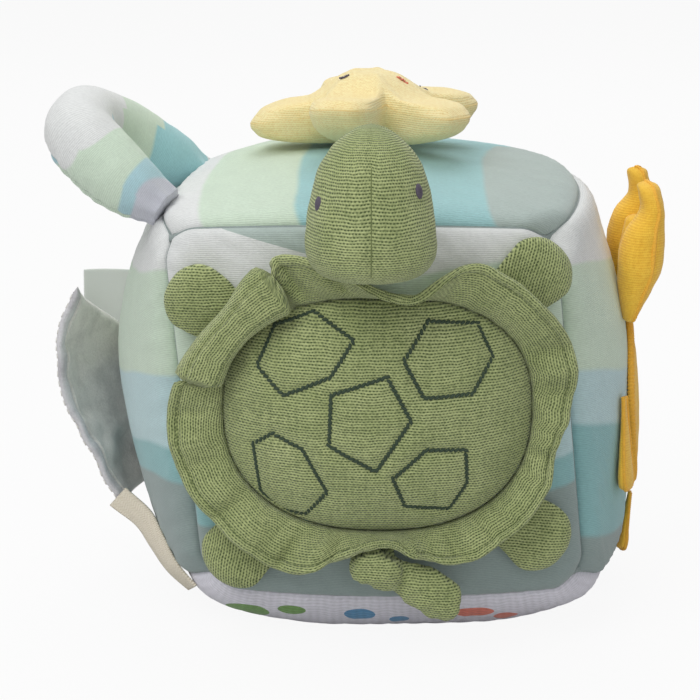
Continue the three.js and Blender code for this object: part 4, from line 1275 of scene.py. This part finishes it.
def make_loop():
    away = (GAP + LOOP.thick / 2 * 0.19) / sqrt(2)

    def root_at(y):
        return block_place("top", 0, 0.5 + y / (2 * HALF.y))[0] + xyz(-away, 0, away)

    front_root, rear_root = root_at(LOOP.front), root_at(LOOP.rear)
    path = smooth_path([
        front_root.lerp(rear_root, b) + xyz(-LOOP.reach * a, 0, LOOP.rise * c) + LOOP_SEAT * (1 - c)
        for a, b, c in LOOP_PATH_SHARES
    ])
    outwards = xyz(-LOOP.rise, 0, -LOOP.reach).normalized()

    def place(u, v):
        ahead = ahead_on(path, v)
        one = ahead.cross(outwards).normalized()
        two = one.cross(ahead).normalized()
        wide = LOOP.thick / 2 * share_at(LOOP_WIDTH_SHARES, v)
        thick = LOOP.thick / 2 * share_at(LOOP_THICK_SHARES, v)
        p = path(v)
        a = TURN * u
        spoke = one * (wide * cos(a)) + two * (thick * sin(a))
        way = spoke.normalized()
        seam_off = abs((u - LOOP_SEAM + 0.5) % 1 - 0.5) / 0.012
        groove = -0.9 * exp(-seam_off * seam_off)
        pucker = 0.3 * exp(-seam_off / 5) * sin(v * TURN * 24)
        gather = 0.6 * sin(TURN * u * 7) * (max(0, 1 - v * 8) + max(0, 1 - (1 - v) * 8))
        q = p + spoke
        return q + way * (groove + pucker + gather + 0.5 * wrinkle(q, 16, 51) + 0.25 * wrinkle(q, 6, 52))

    loop = stuffed("padded_hang_loop", place, 96, 150, (LOOP_ROUND, LOOP_LONG))
    dressed(loop, "hang_loop", ["loop_cover", "loop_filling"], "loop")


# ---- the peep flap, label and tape ----
FLAP_EDGE_SHARES = [0.3, 0.4, 0.54, 0.67, 0.86, 0.68, 0.38]
FLAP_HINGE_HEIGHT = 75
FLAP_ROOTS = {}


def flap_root_at(z):
    key = round(z, 2)
    if key not in FLAP_ROOTS:
        FLAP_ROOTS[key] = seat_on("left", xyz(0, FLAP.sewn, z))[0].x - GAP - 2.2
    return FLAP_ROOTS[key]


def flap_middle(u, v):
    hinge_share = mix(0.03, 0.73, v)
    z = FLAP.low + FLAP.tall * mix(hinge_share, v, max(u, 0.0) ** 0.8)
    stand_off = FLAP.out * (share_at(FLAP_EDGE_SHARES, v) * u + 0.16 * arch(u))
    forwards = FLAP.long * u * (0.9 + 0.1 * arch(held(v)))
    above = max(0.0, z - FLAP_HINGE_HEIGHT)
    loose = smooth(u * 2.5) * arch(held(v * 0.94 + 0.03)) ** 0.5
    fold = xyz(0, u * 34, v * 80)
    sag = loose * (3.4 * wrinkle(fold, 16, 64) + 1.3 * wrinkle(fold, 7.5, 66))
    x = flap_root_at(z - above) + LEAN * above - stand_off + sag
    return xyz(x, FLAP.sewn - forwards, z + 0.5 * sag)


def flap_normal(u, v, step=0.002):
    du = flap_middle(u + step, v) - flap_middle(u - step, v)
    dv = flap_middle(u, v + step) - flap_middle(u, v - step)
    return du.cross(dv).normalized()


def bars(name, runs, radius, finish):
    """Short stitches as thin bars, each from one place to another on a surface that looks along a third vector."""
    parts = []
    for a, b, n in runs:
        across = n.cross((b - a).normalized()).normalized()
        bpy.ops.mesh.primitive_cylinder_add(vertices=8, radius=1, depth=2)
        parts.append(bpy.context.object)
        for vertex in parts[-1].data.vertices:
            x, y, z = vertex.co
            vertex.co = (a.lerp(b, (z + 1) / 2) + across * (x * radius) + n * (y * radius * 0.7)) * MM
    dressed(reworked(joined(name, parts), face_out), "side_flap", [], finish)


def make_flap():
    hem_share = 1 - FLAP.hem / hypot(FLAP.long, FLAP.out)

    def quilt_place(u, v):
        """Round the quilt: u goes over the outer face and back along the inner one."""
        across, outer = there_and_back(u)
        s = hem_share * (0.5 - 0.5 * cos(pi * across))
        rim = min(across, 1 - across) * 2
        edge = min(1.0, sqrt(max(rim * 7, 0))) * min(1.0, sqrt(max(min(v, 1 - v) * 22, 0)))
        p = flap_middle(s, v)
        return p + flap_normal(s, v) * ((1 if outer else -1) * (2.1 + 0.55 * wrinkle(p, 7, 61)) * edge)

    quilt = stuffed("quilted_flap", quilt_place, 96, 64, (0.1, 0.085))
    dressed(quilt, "side_flap", ["flap_outer_cloth", "flap_wadding", "flap_inner_cloth"], "suede")

    def hem_place(u, v):
        a = TURN * u
        s = mix(hem_share - 0.02, 1.0, 0.5 + 0.5 * cos(a))
        p = flap_middle(s, v)
        end = min(1.0, (min(v, 1 - v) * 30) ** 0.5) if 0 < v < 1 else 0.12
        return p + flap_normal(s, v) * (1.6 * end * sin(a) * (1 + 0.12 * wrinkle(p, 5, 67)))

    hem = stuffed("flap_turned_hem", hem_place, 32, 120, (0.014, 0.1))
    dressed(hem, "side_flap", ["flap_hem"], "hem")

    def run(s0, v0, s1, v1, n, lift):
        return flap_middle(s0, v0) + n * lift, flap_middle(s1, v1) + n * lift, n

    running, zigzag = [], []
    for k in range(26):
        v = 0.03 + k * 0.0365
        running.append(run(0.965, v, 0.965, v + 0.021, flap_normal(0.975, v), 1.45))
    bars("flap_running_stitches", running, 0.42, "white")
    for k in range(60):
        v = 0.02 + k * 0.016
        s = (hem_share + 0.034, hem_share + 0.004)
        zigzag.append(run(s[k % 2], v, s[1 - k % 2], 0.02 + (k + 1) * 0.016, flap_normal(hem_share, v), 1.55))
    bars("flap_zigzag_stitches", zigzag, 0.22, "violet")


def make_label():
    low, high = LABEL.low, LABEL.low + LABEL.tall
    seats = [seat_on("left", xyz(0, LABEL.sewn, z))[0].x for z in (low, high)]
    root = min(seats) - GAP - 0.4

    def middle(u, v):
        curl = 1.6 * arch(held(u)) + 0.5 * sin(7 * v) * u
        return xyz(root - LABEL.long * u, LABEL.sewn + curl, mix(low, high, v))

    label = woven("folded_label", middle, 24, 30, size=(0.018, 0.033), outwards=FRONT)
    applied(label, "SOLIDIFY", thickness=0.0008, offset=0)
    applied(label, "SUBSURF", levels=1, render_levels=1)
    dressed(label, "label", ["care_label"], "ribbon")


def make_tape():
    tip_share = (37 - FLAP.low) / FLAP.tall
    start = flap_middle(1, tip_share) + xyz(0.75, -1.8, 0)
    end_seat = seat_on("left", xyz(0, -54, 16))[0]
    end = xyz(end_seat.x + 4.6, -54, 12.2)
    along = [start]
    for y, z, off in ((-33, 32, 3.8), (-41, 25.5, 2.6), (-48.5, 19, 0.7)):
        along.append(xyz(seat_on("left", xyz(0, y, z))[0].x - GAP - off, y, z))
    path = smooth_path(along + [end])
    first, last = xyz(0.62, -0.25, 0.74), xyz(0.3, -0.85, 0.42)

    def middle(u, v):
        across = first.lerp(last, u).normalized()
        cup = 0.9 * arch(v) * arch(u) + 0.4 * sin(9 * u) + 0.6
        return path(u) + across * ((v - 0.5) * TAPE_WIDE) + xyz(-0.8, -0.5, 0) * cup

    tape = woven("herringbone_tape", middle, 60, 12, size=(0.052, 0.010), outwards=xyz(-1, -1, 0))
    applied(tape, "SOLIDIFY", thickness=0.0011, offset=0)
    dressed(tape, None, ["twill_tape"], "tape")
    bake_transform(tape)


# ---- the crab ----
def crab_place(u, v, lift):
    y = CRAB.radius * v * cos(TURN * u)
    z = CRAB.middle + CRAB.radius * v * sin(TURN * u)
    place, normal = seat_on("right", xyz(0, y, z))
    return place + normal * (GAP + lift)


def overlocked(name, form, body):
    """Thick overcast thread round a flat limb's edge."""
    places = [form(0.07, t / 24) for t in range(25)] + [form(0.43, 1 - t / 24) for t in range(1, 25)]
    path = smooth_path(places, 4)
    front = (form(0.25, 0.5) - form(0.75, 0.5)).normalized()

    def place(u, v):
        p = path(v)
        ahead = ahead_on(path, v)
        out = ahead.cross(front).normalized()
        ridge = 1 + 0.12 * sin(v * TURN * 70)
        return p + out * (0.55 * ridge * cos(TURN * u)) + front * (0.75 * ridge * sin(TURN * u))

    dressed(stuffed(name, place, 10, 260, (0.006, 0.09)), body, [], "satin")


# The claw from its palm to its finger's tip: how far its middle stands out, and half its thickness, in millimetres
CLAW_LEAN = [-0.4, -0.1, 0.4, 1.6, 3.2, 3.8, 5.0, 7.4, 6.6, 5.8, 5.2]
CLAW_THICKNESS = [1.8, 2.8, 3.9, 5.8, 7.8, 8.4, 7.0, 4.6, 3.9, 3.5, 0]
LOW_LEG_ASIDE = 10


def make_crab_back():
    body_share = 1 - 2.1 / CRAB.radius
    edge_share = 1 - CRAB.edge / CRAB.radius

    def body_shape(u, v):
        r, outer = there_and_back(v)
        p = crab_place(u, r * body_share, 2.2 if outer else 0.1)
        if outer:
            grain = 0.25 * wrinkle(p, 6, 71)
            out = crab_place(u, r * body_share, 3.2) - crab_place(u, r * body_share, 2.2)
            p = p + out * (0.9 * sqrt(max(0.0, 1 - r**6)) - 0.6 + grain)
        return p

    body = stuffed("crab_back", body_shape, 96, 40, (0.16, 0.06))
    dressed(body, "block", ["crab_body"], "ochre")

    def edge(u, v):
        a = TURN * v
        ridge = 1 + 0.14 * sin(TURN * u * 150)
        middle = crab_place(u, edge_share, 1.3)
        out = (crab_place(u, 1, 1.3) - crab_place(u, 1 - 1 / CRAB.radius, 1.3)).normalized()
        up = (middle - crab_place(u, edge_share, 0.3)).normalized()
        return middle + out * (1.55 * ridge * cos(a)) + up * (1.35 * ridge * sin(a))

    rim = reworked(woven("crab_satin_edge", edge, 600, 10, ring=True, size=(0.19, 0.01)), face_out)
    dressed(rim, "block", ["crab_edging"], "satin")


def make_claw(end, way):
    """A raised claw with its thumb; its way is -1 for the front one and 1 for the rear one."""
    body = f"claw_{end}"
    root = seat_on("right", xyz(0, way * CLAW.at, CLAW.height))[0] + xyz(GAP + 4.7 * 0.45, 0, 0)

    def finger_line(v):
        t = held(v)
        rise = CLAW.tall * (1 - cos(pi * t)) / 2
        return root + xyz(share_at(CLAW_LEAN, t), -way * 6 * t**2.5, rise)

    finger = limb_surface(finger_line, BACK, RIGHT, CLAW.wide / 2, 1,
                          [0.6, 0.9, 1.04, 1.04, 0.84, 0.62, 0], CLAW_THICKNESS)
    limb(f"{body}_finger", body, [f"{body}_finger_{layer}" for layer in ("outer", "inner", "filling")],
         "ochre", finger, (0.0, 0.03, 0.45, 7, 81 + way), (64, 40), (0.045, 0.05))
    overlocked(f"{body}_finger_stitches", finger, body)
    thumb_y = root.y - way * 11
    thumb_seat = seat_on("right", xyz(0, thumb_y, root.z))[0]
    thumb_root = xyz(thumb_seat.x + GAP + CLAW.thumb_thick / 4, thumb_y, root.z)

    def thumb_line(v):
        t = held(v)
        rise = CLAW.thumb * quarter(t)
        return thumb_root + xyz(CLAW.thumb_thick * 0.55 * t, -way * 2.2 * arch(t), rise)

    thumb = limb_surface(thumb_line, BACK, RIGHT, CLAW.thumb_wide / 2, CLAW.thumb_thick / 2,
                         [0.6, 0.9, 1, 0.95, 0.9, 0.8, 0], [0.35, 0.65, 1.05, 1.1, 0.95, 0.8, 0])
    limb(f"{body}_side_thumb", body, [f"{body}_thumb"], "ochre", thumb,
         (0.3, 0.03, 0.3, 5, 91 + way), (48, 28), (0.028, 0.027))


def make_leg(kind, end, way, y, z, towards, long, wide):
    """A flat leg sewn on at its root, hanging down and a little outwards."""
    place, normal = seat_on("right", xyz(0, way * y, z))
    hang = xyz(0, way * towards, -1).normalized()
    out = (hang - normal * hang.dot(normal)).normalized()
    start = place + normal * (GAP + 1.1)
    leg = limb_surface(lambda v: start + out * (long * quarter(held(v))), out.cross(normal), normal, wide / 2, 1.7,
                       [0.35, 0.5, 0.75, 0.95, 1, 0.68, 0], [0.35, 0.6, 0.9, 1.15, 1.35, 1.2, 0])
    body = f"leg_{kind}_{end}"
    limb(f"crab_{kind}_leg_{end}", body, [body], "ochre", leg, (0.0, 0.03, 0.2, 5, 95 + way),
         (48, 28), (0.026, 0.03))
    overlocked(f"crab_{kind}_leg_stitches_{end}", leg, body)


def make_claws_and_legs():
    low_root = CRAB.middle - sqrt(CRAB.radius**2 - LOW_LEG_ASIDE**2) - GAP - 3.4
    for end, way in (("front", -1), ("rear", 1)):
        make_claw(end, way)
        make_leg("side", end, way, y=41, z=80, towards=0.15, long=34, wide=13)
        make_leg("low", end, way, y=LOW_LEG_ASIDE, z=low_root, towards=0.12, long=22, wide=12)


# ---- camera, light and floor; lengths in metres ----
CAMERA = Sizes(aim=xyz(-9.4, 0, 87) * MM, away=0.915, raised=radians(14), lens=125.5, sensor=36)
# Each lamp's place, size and power
LAMPS = {
    "key": ((-0.75, -1.0, 1.4), 0.9, 10),
    "fill": ((0.2, -1.45, 0.55), 1.2, 3),
    "top": ((-0.15, 0.15, 1.6), 1.2, 9),
    "back": ((0.1, 1.2, 1.0), 1.0, 4),
}
LAMPS_AIM = xyz(0, 0, 0.08)


def make_stage():
    bpy.ops.mesh.primitive_plane_add(size=6, location=(0, 0, 0))
    ground = bpy.context.object
    ground.name = "floor"
    paint = bpy.data.materials.new("Pale floor")
    paint.use_nodes = True
    tree = paint.node_tree
    shader = next(n for n in tree.nodes if n.type == "BSDF_PRINCIPLED")
    shader.inputs["Roughness"].default_value = 0.9
    shader.inputs["Base Color"].default_value = linear(216, 216, 216)
    seen = add(tree, "ShaderNodeLightPath", {}, "Is Camera Ray")
    paper = add(tree, "ShaderNodeEmission", {"Color": WHITE, "Strength": 1.0})
    both = add(tree, "ShaderNodeMixShader", {0: seen * 0.92, 1: Out(shader.outputs[0]), 2: paper})
    plug(next(n for n in tree.nodes if n.type == "OUTPUT_MATERIAL").inputs["Surface"], both)
    ground.data.materials.append(paint)

    for name, (place, size, power) in LAMPS.items():
        data = bpy.data.lights.new(name, "AREA")
        data.size, data.energy = size, power
        light = bpy.data.objects.new(name, data)
        bpy.context.scene.collection.objects.link(light)
        light.location = place
        light.rotation_euler = (LAMPS_AIM - light.location).to_track_quat("-Z", "Y").to_euler()

    world = bpy.data.worlds.new("Studio")
    bpy.context.scene.world = world
    world.use_nodes = True
    tree = world.node_tree
    tree.nodes.clear()
    rays = tree.nodes.new("ShaderNodeLightPath").outputs
    seen = Out(rays["Is Camera Ray"]).math("MAXIMUM", Out(rays["Is Glossy Ray"]))
    plain = add(tree, "ShaderNodeBackground", {"Color": WHITE, "Strength": 0.35})
    bright = add(tree, "ShaderNodeBackground", {"Color": WHITE, "Strength": 1.0})
    both = add(tree, "ShaderNodeMixShader", {0: seen, 1: plain, 2: bright})
    plug(tree.nodes.new("ShaderNodeOutputWorld").inputs[0], both)

    away = xyz(0, -cos(CAMERA.raised), sin(CAMERA.raised)) * CAMERA.away
    data = bpy.data.cameras.new("camera")
    data.lens = CAMERA.lens
    data.sensor_width = CAMERA.sensor
    camera = bpy.data.objects.new("camera", data)
    bpy.context.scene.collection.objects.link(camera)
    camera.location = CAMERA.aim + away
    camera.rotation_euler = (-away).to_track_quat("-Z", "Y").to_euler()
    bpy.context.scene.camera = camera
    bpy.context.scene.view_settings.view_transform = "Standard"


for name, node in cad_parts.items():
    if name.endswith("filling"):
        node.data.materials.clear()
        node.data.materials.append(MATERIALS["wadding"])
make_wadding()
make_panels()
make_shell()
make_brim()
make_head()
make_feet()
make_tail()
make_star()
make_loop()
make_flap()
make_label()
make_tape()
make_crab_back()
make_claws_and_legs()
make_stage()

bpy.context.view_layer.update()
